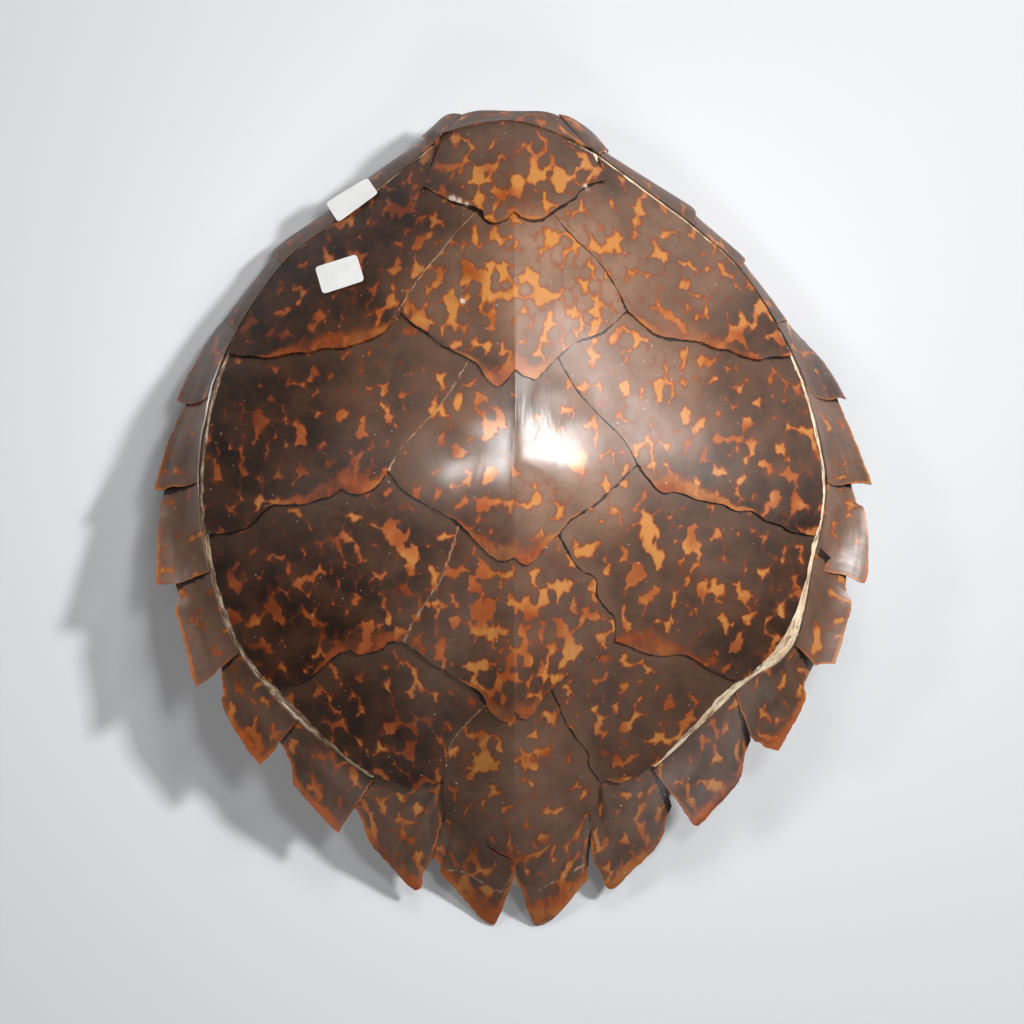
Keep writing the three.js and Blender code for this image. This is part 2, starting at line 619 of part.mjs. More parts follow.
// The backbone: a bar along the midline, half sunk in the dome and narrower at its inner face.
function spineGeometry() {
  const stations = 16;
  const widest = 0.4;
  const positions = [];
  const faces = [];
  for (let i = 0; i <= stations; i += 1) {
    const y = lerp(spineFrom, spineTo, i / stations);
    const inner = domeHeight(0, y) - boneClearance - boneThickness;
    const slim = 1 - spineSlimming * smooth(Math.abs(i / stations - widest) / (1 - widest));
    const depth = spineDepth * Math.min(1, 3 * Math.sin((Math.PI * (i + 0.5)) / (stations + 1)));
    const [wide, narrow] = [(spineWidth / 2) * slim, (spineInnerWidth / 2) * slim];
    const [top, low] = [inner + spineSink, inner - depth];
    positions.push(-wide, y, top, wide, y, top, narrow, y, low, -narrow, y, low);
  }
  for (let i = 0; i < stations; i += 1) {
    for (let side = 0; side < 4; side += 1) {
      const [a, b] = [4 * i + side, 4 * i + ((side + 1) % 4)];
      faces.push(a, b + 4, b, a, a + 4, b + 4);
    }
  }
  const end = 4 * stations;
  faces.push(0, 1, 2, 0, 2, 3, end, end + 2, end + 1, end, end + 3, end + 2);
  return meshOf(positions, faces);
}
addBone();

// ---- paper labels -----------------------------------------------------------------------------------
function addSideLabel() {
  const turn = THREE.MathUtils.degToRad(labelSide.turn);
  const columns = 4;
  const rows = 3;
  const place = (column, row) => {
    const [alongLabel, acrossLabel] = [column / columns - 0.5, 0.5 - row / rows];
    const p = new THREE.Vector2(alongLabel * labelSide.length, acrossLabel * labelSide.width);
    p.rotateAround(new THREE.Vector2(), turn);
    return onDome(p.add(new THREE.Vector2(labelSide.x, labelSide.y)));
  };
  const geometry = plate(columns, rows, place, domeNormal, () => sideLabelLift, () => labelThickness);
  addPiece('paper_label_side', geometry, paperColour, paper);
}
addSideLabel();

function addFrontLabel() {
  const [inner, outer] = [labelFront.inner.map(v3), labelFront.outer.map(v3)];
  const columns = 4;
  const rows = 3;
  const place = (column, row) => inner[0].clone().lerp(inner[1], column / columns)
    .lerp(outer[0].clone().lerp(outer[1], column / columns), row / rows);
  const normal = facingOut(
    inner[1].clone().sub(inner[0]).cross(outer[0].clone().sub(inner[0])).normalize(), inner[0]);
  const geometry = plate(columns, rows, place, () => normal.clone(), () => labelThickness, () => labelThickness);
  addPiece('paper_label_front', geometry, paperColour, paper);
}
addFrontLabel();

// Stand the shell on the ground, centred on the origin.
const box = new THREE.Box3().setFromObject(shell);
const middle = box.getCenter(new THREE.Vector3());
shell.position.set(-middle.x, -middle.y, -box.min.z);

export default shell;
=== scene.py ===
import bisect
import math
from functools import partial

import bmesh
import bpy
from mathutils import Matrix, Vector, noise


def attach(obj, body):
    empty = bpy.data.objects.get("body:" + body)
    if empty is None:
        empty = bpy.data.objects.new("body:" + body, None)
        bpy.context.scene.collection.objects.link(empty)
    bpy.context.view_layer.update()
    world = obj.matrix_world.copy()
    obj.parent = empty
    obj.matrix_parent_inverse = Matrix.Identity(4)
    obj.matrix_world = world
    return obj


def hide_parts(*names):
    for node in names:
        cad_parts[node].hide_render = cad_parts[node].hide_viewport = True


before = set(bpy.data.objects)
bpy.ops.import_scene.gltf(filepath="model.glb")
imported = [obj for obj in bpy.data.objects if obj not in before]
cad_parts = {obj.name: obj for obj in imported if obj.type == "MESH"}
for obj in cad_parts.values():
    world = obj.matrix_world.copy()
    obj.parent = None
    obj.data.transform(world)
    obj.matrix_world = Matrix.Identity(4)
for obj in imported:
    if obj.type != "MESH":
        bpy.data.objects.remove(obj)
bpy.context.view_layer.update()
print("frame loaded:", len(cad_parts), "solids")

mm = 0.001
# The outlines below are in millimetres from the keel line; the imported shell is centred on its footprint.
frameShift = Vector((1.5237, 0.7540, -0.0956))
sides = ("right", "left")


def mix(a, b, t):
    return a + (b - a) * t


def smooth(t):
    t = min(max(t, 0.0), 1.0)
    return t * t * (3 - 2 * t)


def spline(points, place, closed=False):  # uniform Catmull-Rom, place counts the points
    count = len(points)
    low = int(math.floor(place))
    if not closed:
        low = min(max(low, 0), count - 2)
    t = place - low
    if closed:
        p0, p1, p2, p3 = (points[(low + i) % count] for i in (-1, 0, 1, 2))
    else:
        p0, p1, p2, p3 = (points[min(max(low + i, 0), count - 1)] for i in (-1, 0, 1, 2))
    return 0.5 * (p1 * 2 + (p2 - p0) * t + (p0 * 2 - p1 * 5 + p2 * 4 - p3) * t * t
                  + (p1 * 3 - p0 - p2 * 3 + p3) * t * t * t)


def rough(x, y, z=0.0, octaves=3):  # soft noise, about -1 to 1
    return noise.fractal(Vector((x, y, z)), 1.0, 2.0, octaves)


nibbles = {
    "step": 0.9, "fade": 6,                          # mm from point to point, and points over which the marks fade in
    "wave": (0.09, 0.7), "nick": (0.30, 0.6), "splinter": (0.7, 0.45),       # how close they are, and how deep
}


def outline(points, chips=0.0, seed=0.0):  # a plan curve read by share of its length, its edge nibbled
    corners = [Vector(p) for p in points]
    line = []
    for i in range(len(corners) - 1):
        steps = max(2, int((corners[i + 1] - corners[i]).length / nibbles["step"]))
        line += [spline(corners, i + s / steps) for s in range(steps)]
    line.append(corners[-1])
    if chips:
        (wave, waveDepth), (nick, nickDepth), (splinter, splinterDepth) = (
            nibbles[kind] for kind in ("wave", "nick", "splinter"))
        worn = [line[0]]
        for i in range(1, len(line) - 1):
            along = line[i + 1] - line[i - 1]
            out = Vector((-along.y, along.x)).normalized()
            p = line[i]
            nibble = (rough(p.x * nick + seed, p.y * nick) * nickDepth
                      + rough(p.x * wave, p.y * wave + seed) * waveDepth
                      + rough(p.x * splinter, p.y * splinter + seed, 5) * splinterDepth)
            fade = smooth(min(i, len(line) - 1 - i) / nibbles["fade"])
            worn.append(p + out * nibble * chips * fade)
        worn.append(line[-1])
        line = worn
    lengths = [0.0]
    for a, b in zip(line, line[1:]):
        lengths.append(lengths[-1] + (b - a).length)

    def at(t):
        want = min(max(t, 0.0), 1.0) * lengths[-1]
        i = min(max(bisect.bisect_left(lengths, want), 1), len(line) - 1)
        part = lengths[i] - lengths[i - 1]
        return line[i - 1].lerp(line[i], (want - lengths[i - 1]) / part if part else 0.0)
    return at


def joinedLines(first, second, share):  # two plan curves end to end
    return lambda t: first(t / share) if t < share else second((t - share) / (1 - share))


# The form that everything lies on, mm.
shellForm = {
    "domeTop": 152, "centreY": 44, "keelRise": 6, "keelWidth": 34,
    "fullness": 2.2, "frontFullness": 0.5, "rearFullness": 0.2,
    "gapUnevenness": 0.5, "gapWaves": 1.3,           # of the bare bone's width, and how many to a joint
    # one station for each joint between edge scutes, neck to tail: x, y, z, half width of bare bone
    "right": [(51, 259, 60, 1.0), (59, 253, 57, 1.0), (125, 204, 42, 1.0), (157.5, 174.5, 38, 1.0),
              (182.5, 136, 45, 1.2), (203.5, 89, 60, 1.6), (216, 25, 74, 1.8), (208.5, -23.5, 82, 2.0),
              (191, -86, 83, 4.2), (152, -120.5, 75, 3.4), (96, -174.5, 58, 2.2), (53, -203, 45, 1.0),
              (0, -238, 38, 1.0)],
    "left": [(-50.5, 269, 60, 1.0), (-58, 260, 57, 1.0), (-124, 209, 42, 1.0), (-162, 178.5, 38, 1.0),
             (-194, 131, 45, 1.2), (-212, 84, 60, 2.8), (-219, 25, 74, 2.4), (-211.5, -37, 82, 2.0),
             (-190.5, -93, 83, 2.7), (-150, -140, 75, 3.0), (-98.5, -181.5, 58, 2.4), (-49, -204, 45, 1.0),
             (0, -238, 38, 1.0)],
    "neck": (0, 277, 63, 1.0),
}
seamLoop = [Vector(p[:3]) for p in
            [shellForm["neck"]] + shellForm["right"] + shellForm["left"][:-1][::-1]]


def seamPoint(side, s):
    place = 1 + s if side == "right" else len(seamLoop) - 1 - s
    return spline(seamLoop, place, closed=True)


def gapAt(side, s):
    low = min(max(int(math.floor(s)), 0), 11)
    here, there = shellForm[side][low][3], shellForm[side][low + 1][3]
    uneven = 1 + shellForm["gapUnevenness"] * rough(s * shellForm["gapWaves"], 4 if side == "left" else 9)
    return mix(here, there, smooth(s - low)) * uneven


def seamTable(steps=720, samples=3000):  # distance and height of the seam by compass angle round the dome's middle
    ring = []
    for i in range(samples):
        p = spline(seamLoop, i / samples * len(seamLoop), closed=True)
        y = p.y - shellForm["centreY"]
        ring.append((math.atan2(y, p.x), math.hypot(p.x, y), p.z))
    ring.sort()
    angles = [r[0] for r in ring]
    found = []
    for i in range(steps):
        j = min(bisect.bisect_left(angles, -math.pi + 2 * math.pi * i / steps), len(ring) - 1)
        found.append(ring[j][1:])
    reach = range(-7, 8)                             # evened out, so that no corner of the seam folds the dome
    return [tuple(sum(found[(i + j) % steps][part] for j in reach) / len(reach) for part in (0, 1))
            for i in range(steps)]


seamByAngle = seamTable()


def domeHeight(x, y):
    form = shellForm
    angle = math.atan2(y - form["centreY"], x)
    place = (angle + math.pi) / (2 * math.pi) * len(seamByAngle)
    low = int(place)
    a, b = seamByAngle[low % len(seamByAngle)], seamByAngle[(low + 1) % len(seamByAngle)]
    radius, height = mix(a[0], b[0], place - low), mix(a[1], b[1], place - low)
    out = math.hypot(x, y - form["centreY"]) / radius
    ahead, behind = max(0.0, math.sin(angle)) ** 2, max(0.0, -math.sin(angle)) ** 2
    fullness = form["fullness"] + form["frontFullness"] * ahead - form["rearFullness"] * behind
    keel = form["keelRise"] * math.exp(-abs(x) / form["keelWidth"]) * (1 - min(out, 1.0) ** 4)
    return height + (form["domeTop"] - height) * (1 - out ** fullness) + keel


def onDome(p):
    return Vector((p[0], p[1], domeHeight(p[0], p[1])))


hollowMiddle = Vector((0, shellForm["centreY"], 40))


def linear(code):  # sRGB hex to the linear colour a node wants
    parts = [int(code[i:i + 2], 16) / 255 for i in (1, 3, 5)]
    return [c / 12.92 if c <= 0.04045 else ((c + 0.055) / 1.055) ** 2.4 for c in parts] + [1.0]


def newMaterial(name):
    material = bpy.data.materials.new(name)
    material.use_nodes = True
    tree = material.node_tree
    return material, tree, tree.nodes["Principled BSDF"]


# One node: a number, a colour or another node's output for each socket, by place or by name, and its settings.
def addNode(tree, kind, inputs=(), settings=None, output=0):
    node = tree.nodes.new("ShaderNode" + kind)
    for key, value in (settings or {}).items():
        setattr(node, key, value)
    for key, value in (inputs.items() if isinstance(inputs, dict) else enumerate(inputs)):
        if isinstance(value, bpy.types.NodeSocket):
            tree.links.new(value, node.inputs[key])
        else:
            node.inputs[key].default_value = value
    return node.outputs[output]


times, timesPlus, minus = ({"operation": kind} for kind in ("MULTIPLY", "MULTIPLY_ADD", "SUBTRACT"))
softStep = {"interpolation_type": "SMOOTHSTEP"}      # value, from low to high, giving bottom to top
colours = {"data_type": "RGBA"}                      # a colour mix: sockets 0, 6 and 7, output 2


# Hawksbill horn, scraped clean and polished: almost black brown, with amber blotches grown along each scute.
# It lets light into its thin edges, so those go orange. Handling has left some scutes glossy and others dull.
hornLook = {
    # the pale colour is a veil of painted sheen
    "dark": "#20120a", "brown": "#442919", "dusty": "#533b2b", "paleAndSheen": "#8c6b57", "deepAmber": "#713010",
    "amber": "#944a1d", "honey": "#b2763a", "edge": "#7d3513", "suture": "#b99474",
    # the crack colour also paints the shadow in the step under each scute in front
    "crackAndStepShadow": "#0d0806", "broken": "#c9bcae", "grimy": "#8c7a68", "dust": "#c9b9a6",
    "stretch": 0.78, "streakStretch": 0.12,          # how far growth draws the blotches and the fine streaks out
    "cover": 0.554,                                  # a higher figure leaves fewer blotches
    "dull": (0.40, 0.54), "glossy": 0.13,            # roughness
    "specular": 0.30, "ior": 1.55,                   # keratin
    # how big each pattern is, mm across; the streaks and specks are drawn coarser than the real ones
    "wobble": 6, "blotch": 12, "fleck": 3.2, "cell": 8.2, "crowding": 42, "streak": 1.6, "cloud": 24, "tone": 34,
    "ragged": 5, "edgePatch": 26, "gape": 9, "worn": 30, "grime": 55, "speck": 2.7, "dent": 16,
    "bumpDepth": 0.6,                                # mm
}


def hornMaterial(name, look):
    material, tree, shader = newMaterial(name)
    node = partial(addNode, tree)
    growth, edges = (node("UVMap", settings={"uv_map": kind}) for kind in ("growth", "edges"))
    freeEdge = node("SeparateXYZ", (edges,))                   # in widths of the edge band
    sideEdge = node("SeparateXYZ", (edges,), output=1)         # mm
    # the last attribute is mostly painted sheen, raised further at the real white chips
    bias, polish, front, paleAndSheen = (node("Attribute", settings={"attribute_name": kind}, output="Fac")
                                 for kind in ("amber", "polish", "front", "paleAndSheen"))
    inPlace = node("TexCoord", output="Object")

    drawnOut = node("Mapping", {"Vector": growth, "Scale": (1, look["stretch"], 1)})
    streaks = node("Mapping", {"Vector": growth, "Scale": (1, look["streakStretch"], 1)})
    wobble = node("TexNoise", {"Vector": drawnOut, "Scale": 1 / look["wobble"], "Detail": 2})
    wobble = node("Math", (node("Math", (wobble, 0.5), minus), 5), times)
    bent = node("VectorMath", (drawnOut, wobble))
    noises = [node("TexNoise", {"Vector": where, "Scale": 1 / (look[kind] * unit), "Detail": detail,
                                "Roughness": roughness})
              for kind, where, unit, detail, roughness in (
                  ("blotch", bent, 1, 2.5, 0.5), ("fleck", bent, 1, 2, 0.5), ("crowding", growth, 1, 1, 0.5),
                  ("streak", streaks, 1, 3, 0.6), ("cloud", growth, 1, 4, 0.6), ("tone", growth, 1, 2, 0.5),
                  ("ragged", growth, 1, 3, 0.6), ("edgePatch", growth, 1, 2, 0.5), ("gape", growth, 1, 3, 0.65),
                  ("worn", inPlace, mm, 4, 0.6), ("grime", inPlace, mm, 6, 0.72), ("speck", inPlace, mm, 1, 0.5),
                  ("dent", inPlace, mm, 3, 0.5))]
    blotches, flecks, crowding, streak, cloud, tone, ragged, edgePatch, gape, worn, grime, specks, dents = noises

    # where the amber is: round dark cells leave a net of it between them, and blotches fill the net's gaps
    cells = node("TexVoronoi", {"Vector": bent, "Scale": 1 / look["cell"]}, {"voronoi_dimensions": "2D"})
    field = node("Math", (blotches, 0.55, node("Math", (flecks, 0.14), times)), timesPlus)
    field = node("Math", (cells, 0.30, field), timesPlus)
    field = node("Math", (node("Math", (crowding, 0.5), minus), 0.16, field), timesPlus)
    field = node("Math", (field, bias))
    cover = look["cover"]
    amber = node("MapRange", (field, cover - 0.012, cover + 0.018), softStep)
    core = node("MapRange", (field, cover, cover + 0.07), softStep)
    halo = node("MapRange", (field, cover - 0.08, cover - 0.005), softStep)

    # the horn's own body: cloudy brown, dusty towards the scute in front, paler where a painted sheen lies on it and
    # at the white chips
    body = node("Mix", {0: node("MapRange", (cloud, 0.3, 0.72), softStep), 6: linear(look["dark"]),
                        7: linear(look["brown"])}, colours, 2)
    # a pale veil of painted sheen, and the white chips
    paleAndSheenVeil = node("Math", (paleAndSheen, node("MapRange", (cloud, 0.25, 0.75, 0.65, 1), softStep)), times)
    for amount, shade in ((node("MapRange", (front, 2, 24, 0.4, 0), softStep), "dusty"), (paleAndSheenVeil, "paleAndSheen"),
                          (node("MapRange", (streak, 0.5, 0.8, 0, 0.1), softStep), "deepAmber"),
                          (node("Math", (halo, 0.42), times), "deepAmber")):
        body = node("Mix", {0: amount, 6: body, 7: linear(look[shade])}, colours, 2)

    # the amber, with a honey core; deeper on the left and more honey towards the right and under the painted sheen, a
    # painted light from the right
    tone = node("Math", (paleAndSheen, 0.26, tone), timesPlus)
    # painted light: lighter, more honey amber towards the lit right side
    tone = node("Math", (node("SeparateXYZ", (inPlace,)), 0.32, tone), timesPlus)
    glow = linear(look["deepAmber"])
    honeyed = node("Math", (core, node("MapRange", (tone, 0.46, 0.66), softStep)), times)
    for amount, shade in ((node("MapRange", (tone, 0.3, 0.5), softStep), "amber"), (honeyed, "honey"),
                          (node("MapRange", (streak, 0.5, 0.75, 0, 0.2), softStep), "deepAmber")):
        glow = node("Mix", {0: amount, 6: glow, 7: linear(look[shade])}, colours, 2)
    colour = node("Mix", {0: amber, 6: body, 7: glow}, colours, 2)

    # thin free edge: orange, ragged on its inner side
    reach = node("Math", (node("Math", (ragged, 0.5), minus), 1.3, freeEdge), timesPlus)
    band = node("Math", (node("MapRange", (reach, 0.5, 1.1, 1, 0), softStep),
                         node("MapRange", (edgePatch, 0.38, 0.58, 0.3, 0.95), softStep)), times)
    bandTone = linear(look["edge"])
    for amount, shade in ((node("MapRange", (ragged, 0.35, 0.7), softStep), "amber"),
                          # honey as the amber's painted light gives it, towards the right and under the painted sheen
                          (node("MapRange", (tone, 0.5, 0.75, 0, 0.6), softStep), "honey"),
                          (node("MapRange", (reach, 0.35, 0.95, 0, 0.8), softStep), "deepAmber")):
        bandTone = node("Mix", {0: amount, 6: bandTone, 7: linear(look[shade])}, colours, 2)
    colour = node("Mix", {0: band, 6: colour, 7: bandTone}, colours, 2)

    # pale lines in the left-hand sutures, dark cracks in the right-hand ones, painted shadow in the step under the
    # scute in front, splinters broken white, grime, dust
    gape = node("Math", (gape, 0.5), minus)
    suture = node("Math", (ragged, 2.6, sideEdge), timesPlus)
    suture = node("Math", (gape, 3, suture), timesPlus)
    # painted shadow in the step where the scute in front overhangs, and the real right-hand cracks
    crackAndStepShadow = node("Math", (gape, 7, front), timesPlus)
    chip = node("Math", (flecks, 2.2, paleAndSheen), timesPlus)
    grime = node("MapRange", (grime, 0.56, 0.8, 0, 0.16), softStep)
    specks = node("MapRange", (specks, 0.765, 0.8, 0, 0.55), softStep)
    for amount, shade in ((node("MapRange", (suture, 1.1, 1.9, 0.8, 0), softStep), "suture"),
                          (node("MapRange", (crackAndStepShadow, 0.7, 1.7, 0.9, 0), softStep), "crackAndStepShadow"),
                          (node("MapRange", (chip, 2.95, 3.15, 0, 0.85), softStep), "broken"),
                          (grime, "grimy"), (specks, "dust")):
        colour = node("Mix", {0: amount, 6: colour, 7: linear(look[shade])}, colours, 2)
    tree.links.new(colour, shader.inputs["Base Color"])

    dull = node("MapRange", (worn, 0.3, 0.75, *look["dull"]), softStep)
    gloss = node("Mix", {"Factor": polish, "A": dull, "B": look["glossy"]})
    gloss = node("Math", (grime, 0.5, gloss), timesPlus)
    tree.links.new(gloss, shader.inputs["Roughness"])
    shader.inputs["IOR"].default_value = look["ior"]
    shader.inputs["Specular IOR Level"].default_value = look["specular"]

    # low relief: a scraped grain along the growth, blotches a touch sunk, shallow dents rubbed out by the polish
    dents = node("Math", (dents, node("MapRange", (polish, 0.3, 1, 1, 0.3), softStep)), times)
    relief = node("Math", (streak, 0.12, dents), timesPlus)
    relief = node("Math", (amber, -0.06, relief), timesPlus)
    relief = node("Math", (specks, 0.1, relief), timesPlus)
    bump = node("Bump", {"Height": relief, "Strength": 0.3, "Distance": look["bumpDepth"] * mm})
    tree.links.new(bump, shader.inputs["Normal"])
    return material


domeHorn = hornMaterial("polishedHorn", hornLook)
rimHorn = hornMaterial("polishedEdgeHorn", dict(
    hornLook, cover=0.568, dark="#241711", brown="#4a3427", edge="#a2501d", deepAmber="#7c3813", specular=0.45))


# Dried bone, chalky and cream: fibrous under shreds of skin by the seam, stained and full of pores inside.
boneLook = {
    "shade": "#d8ba96", "light": "#f6e6c8", "stain": "#a4805a", "frayed": "#7d5b42", "skin": "#6d4c3c",
    "bright": "#f2e4cb", "pore": "#a78c68",
    # mm across
    "fibre": 0.9, "shred": 3.5, "cloud": 18, "blot": 45, "hole": 2.2,
    "fibreStretch": 0.09, "shredStretch": 0.22, "seamStrip": (6, 11), "bumpDepth": 0.8, "ior": 1.5,
}


def boneMaterial(look):
    material, tree, shader = newMaterial("driedBone")
    node = partial(addNode, tree)
    along = node("UVMap", settings={"uv_map": "growth"})       # mm out from the seam, and mm along it
    inPlace = node("TexCoord", output="Object")
    drawn, torn = (node("Mapping", {"Vector": along, "Scale": (1, look[kind], 1)})
                   for kind in ("fibreStretch", "shredStretch"))
    fibre, shreds, cloud, blots, pores = (
        node("TexNoise", {"Vector": where, "Scale": 1 / (look[kind] * unit), "Detail": detail,
                          "Roughness": roughness})
        for kind, where, unit, detail, roughness in (
            ("fibre", drawn, 1, 4, 0.65), ("shred", torn, 1, 4, 0.65), ("cloud", inPlace, mm, 4, 0.6),
            ("blot", inPlace, mm, 5, 0.62), ("hole", inPlace, mm, 2, 0.6)))
    fromSeam = node("Math", (node("SeparateXYZ", (along,)),), {"operation": "ABSOLUTE"})
    bySeam = node("MapRange", (fromSeam, *look["seamStrip"], 1, 0), softStep)
    stain = node("Math", (node("MapRange", (blots, 0.38, 0.7, 0.15, 0.75), softStep),
                          node("Math", (bySeam, 0.9), times)), dict(minus, use_clamp=True))
    shreds = node("Math", (node("SeparateXYZ", (inPlace,)), -0.25, shreds), timesPlus)      # more on the left
    frayed, skin, bright = (
        node("Math", (bySeam, node("MapRange", (source, *steps), softStep)), times)
        for source, steps in ((fibre, (0.48, 0.64, 0, 0.7)), (shreds, (0.49, 0.57, 0, 0.85)),
                              (fibre, (0.32, 0.44, 0.7, 0))))
    colour = linear(look["shade"])
    for amount, shade in ((node("MapRange", (cloud, 0.32, 0.7), softStep), "light"), (stain, "stain"),
                          (frayed, "frayed"), (skin, "skin"), (bright, "bright"),
                          (node("MapRange", (pores, 0.55, 0.75, 0, 0.3), softStep), "pore")):
        colour = node("Mix", {0: amount, 6: colour, 7: linear(look[shade])}, colours, 2)
    tree.links.new(colour, shader.inputs["Base Color"])
    tree.links.new(node("MapRange", (fibre, 0.3, 0.7, 0.55, 0.8), softStep), shader.inputs["Roughness"])
    shader.inputs["IOR"].default_value = look["ior"]
    relief = node("Math", (fibre, bySeam, node("Math", (pores, 0.35), times)), timesPlus)
    bump = node("Bump", {"Height": relief, "Strength": 0.7, "Distance": look["bumpDepth"] * mm})
    tree.links.new(bump, shader.inputs["Normal"])
    return material


driedBone = boneMaterial(boneLook)


# Coated label paper: white, faintly mottled, its surface a little glossy.
paperLook = {"white": "#f6f5f3", "mottle": "#eeedea", "fibre": "#cfcdc8", "fibreSize": 1.2, "mottleSize": 12}


def paperMaterial(look):
    material, tree, shader = newMaterial("labelPaper")
    node = partial(addNode, tree)
    inPlace = node("TexCoord", output="Object")
    fibre, cloud = (
        node("TexNoise", {"Vector": inPlace, "Scale": 1 / (look[kind] * mm), "Detail": 3, "Roughness": roughness})
        for kind, roughness in (("fibreSize", 0.6), ("mottleSize", 0.5)))
    colour = linear(look["white"])
    for amount, shade in ((node("MapRange", (cloud, 0.35, 0.7), softStep), "mottle"),
                          (node("MapRange", (fibre, 0.5, 0.8, 0, 0.15), softStep), "fibre")):
        colour = node("Mix", {0: amount, 6: colour, 7: linear(look[shade])}, colours, 2)
    tree.links.new(colour, shader.inputs["Base Color"])
    tree.links.new(node("MapRange", (cloud, 0.3, 0.7, 0.42, 0.55), softStep), shader.inputs["Roughness"])
    bump = node("Bump", {"Height": fibre, "Strength": 0.15, "Distance": 0.2 * mm})
    tree.links.new(bump, shader.inputs["Normal"])
    return material


labelPaper = paperMaterial(paperLook)
print("materials ready")


def sheet(columns, rows, place, rowShare=lambda t: t):  # a grid laid over place(u, v), with u and v kept
    bm = bmesh.new()
    bmesh.ops.create_grid(bm, x_segments=columns, y_segments=rows, size=0.5)
    across, along = bm.verts.layers.float.new("u"), bm.verts.layers.float.new("v")
    for vert in bm.verts:
        vert[across] = vert.co.x + 0.5
        vert[along] = rowShare(vert.co.y + 0.5)
    for vert in bm.verts:
        vert.co = place(vert[across], vert[along])
    bm.normal_update()
    middle = sum((vert.co for vert in bm.verts), Vector()) / len(bm.verts)
    facing = sum((vert.normal for vert in bm.verts), Vector())
    if facing.dot(middle - hollowMiddle) < 0:
        bmesh.ops.reverse_faces(bm, faces=bm.faces[:])
        bm.normal_update()
    return bm, across, along


def layMaps(bm, across, along, mapsAt):  # the two maps and the four attributes that the materials read
    growth, edges = bm.loops.layers.uv.new("growth"), bm.loops.layers.uv.new("edges")
    kinds = [bm.verts.layers.float.new(kind) for kind in ("amber", "polish", "front", "paleAndSheen")]
    known = {}
    for vert in bm.verts:
        maps = mapsAt(vert[across], vert[along], vert.co)
        known[vert] = maps[:2]
        for kind, value in zip(kinds, maps[2:]):
            vert[kind] = value
    for face in bm.faces:
        for loop in face.loops:
            loop[growth].uv, loop[edges].uv = known[loop.vert]


def newPiece(bm, name, meshName, material):  # moved from the outlines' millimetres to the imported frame's metres
    for vert in bm.verts:
        vert.co = (vert.co + frameShift) * mm
    mesh = bpy.data.meshes.new(meshName)
    bm.to_mesh(mesh)
    bm.free()
    mesh.materials.append(material)
    piece = bpy.data.objects.new(name, mesh)
    bpy.context.collection.objects.link(piece)
    return piece


def shadeSmooth(mesh, corner):  # corners sharper than this, in degrees, stay sharp
    mesh.shade_smooth()
    mesh.set_sharp_from_angle(angle=math.radians(corner))


def finishPlate(bm, node, material, thickness, thinAt=None):
    piece = newPiece(bm, node + "_look", node + "_horn", material)
    wall = piece.modifiers.new("wall", "SOLIDIFY")
    wall.thickness, wall.offset = thickness * mm, -1
    if thinAt:
        group = piece.vertex_groups.new(name="thickness")
        across, along = (piece.data.attributes[kind].data for kind in ("u", "v"))
        for i in range(len(piece.data.vertices)):
            group.add([i], thinAt(across[i].value, along[i].value), "REPLACE")
        wall.vertex_group = "thickness"
    shape = bpy.data.meshes.new_from_object(piece.evaluated_get(bpy.context.evaluated_depsgraph_get()))
    piece.modifiers.clear()                          # the wall is in the mesh now
    piece.vertex_groups.clear()
    piece.data = shape
    shadeSmooth(shape, 38)
    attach(piece, "root")
    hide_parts(node)


def patch(front, rear, sideA, sideB):  # a sheet between four edges
    fa, fb, ra, rb = front(0), front(1), rear(0), rear(1)

    def at(u, v):
        edges = front(u) * (1 - v) + rear(u) * v + sideA(v) * (1 - u) + sideB(v) * u
        return edges - (fa * (1 - u) + fb * u) * (1 - v) - (ra * (1 - u) + rb * u) * v
    return at


# The scutes' outlines, seen from above, mm.
# Vertebral rear edges, left corner to right; the keel's notch is the point on x = 0.
vertebralRear = [
    [(-63.5, 230.5), (-59, 228), (-51, 223), (-42.5, 219), (-31.5, 216), (-22.5, 212), (-20.5, 206),
     (-14, 203.5), (-6.5, 206), (-2, 211), (0, 211), (5, 207), (14, 205.5), (20.5, 207.5), (26, 212),
     (40.5, 222), (48.5, 230.5), (64.5, 236)],
    [(-80, 143), (-70, 133.5), (-61.5, 128.5), (-52, 120), (-38, 113), (-26.5, 106), (-19, 96),
     (-12.5, 90.5), (-7.5, 93), (0, 102), (6.5, 97.5), (13.5, 95.5), (18, 99), (28.5, 110), (40, 120),
     (61, 129), (77, 143)],
    [(-87.5, 32.5), (-78.5, 20.5), (-62.5, 10), (-47, 2), (-34.5, -7.5), (-27.5, -15), (-19.5, -23.5),
     (-12, -28.5), (-7, -29.5), (0, -27), (3, -31), (7, -32.5), (13.5, -28.5), (23, -17), (31.5, -9),
     (39, -0.5), (55.5, 10), (68, 21.5), (84, 37)],
    [(-76.5, -86), (-70, -90.5), (-58, -100.5), (-48.5, -105.5), (-34.5, -114.5), (-22.5, -121.5),
     (-18, -132.5), (-11, -139), (-5.5, -140.5), (-2, -139), (0, -133.5), (5, -139), (10.5, -137.5),
     (16, -129), (22.5, -120.5), (31, -112.5), (44, -103), (59, -95), (68.5, -85)],
    [(-48.5, -179), (-50.5, -191), (-48.5, -205), (-40.5, -210.5), (-29.5, -219.5), (-24, -225),
     (-14, -230.5), (-1.5, -238.5), (0, -242), (7, -237.5), (18, -233.5), (28.5, -223), (37, -214.5),
     (48.5, -208), (53, -205), (57.5, -194), (59, -183)],
]
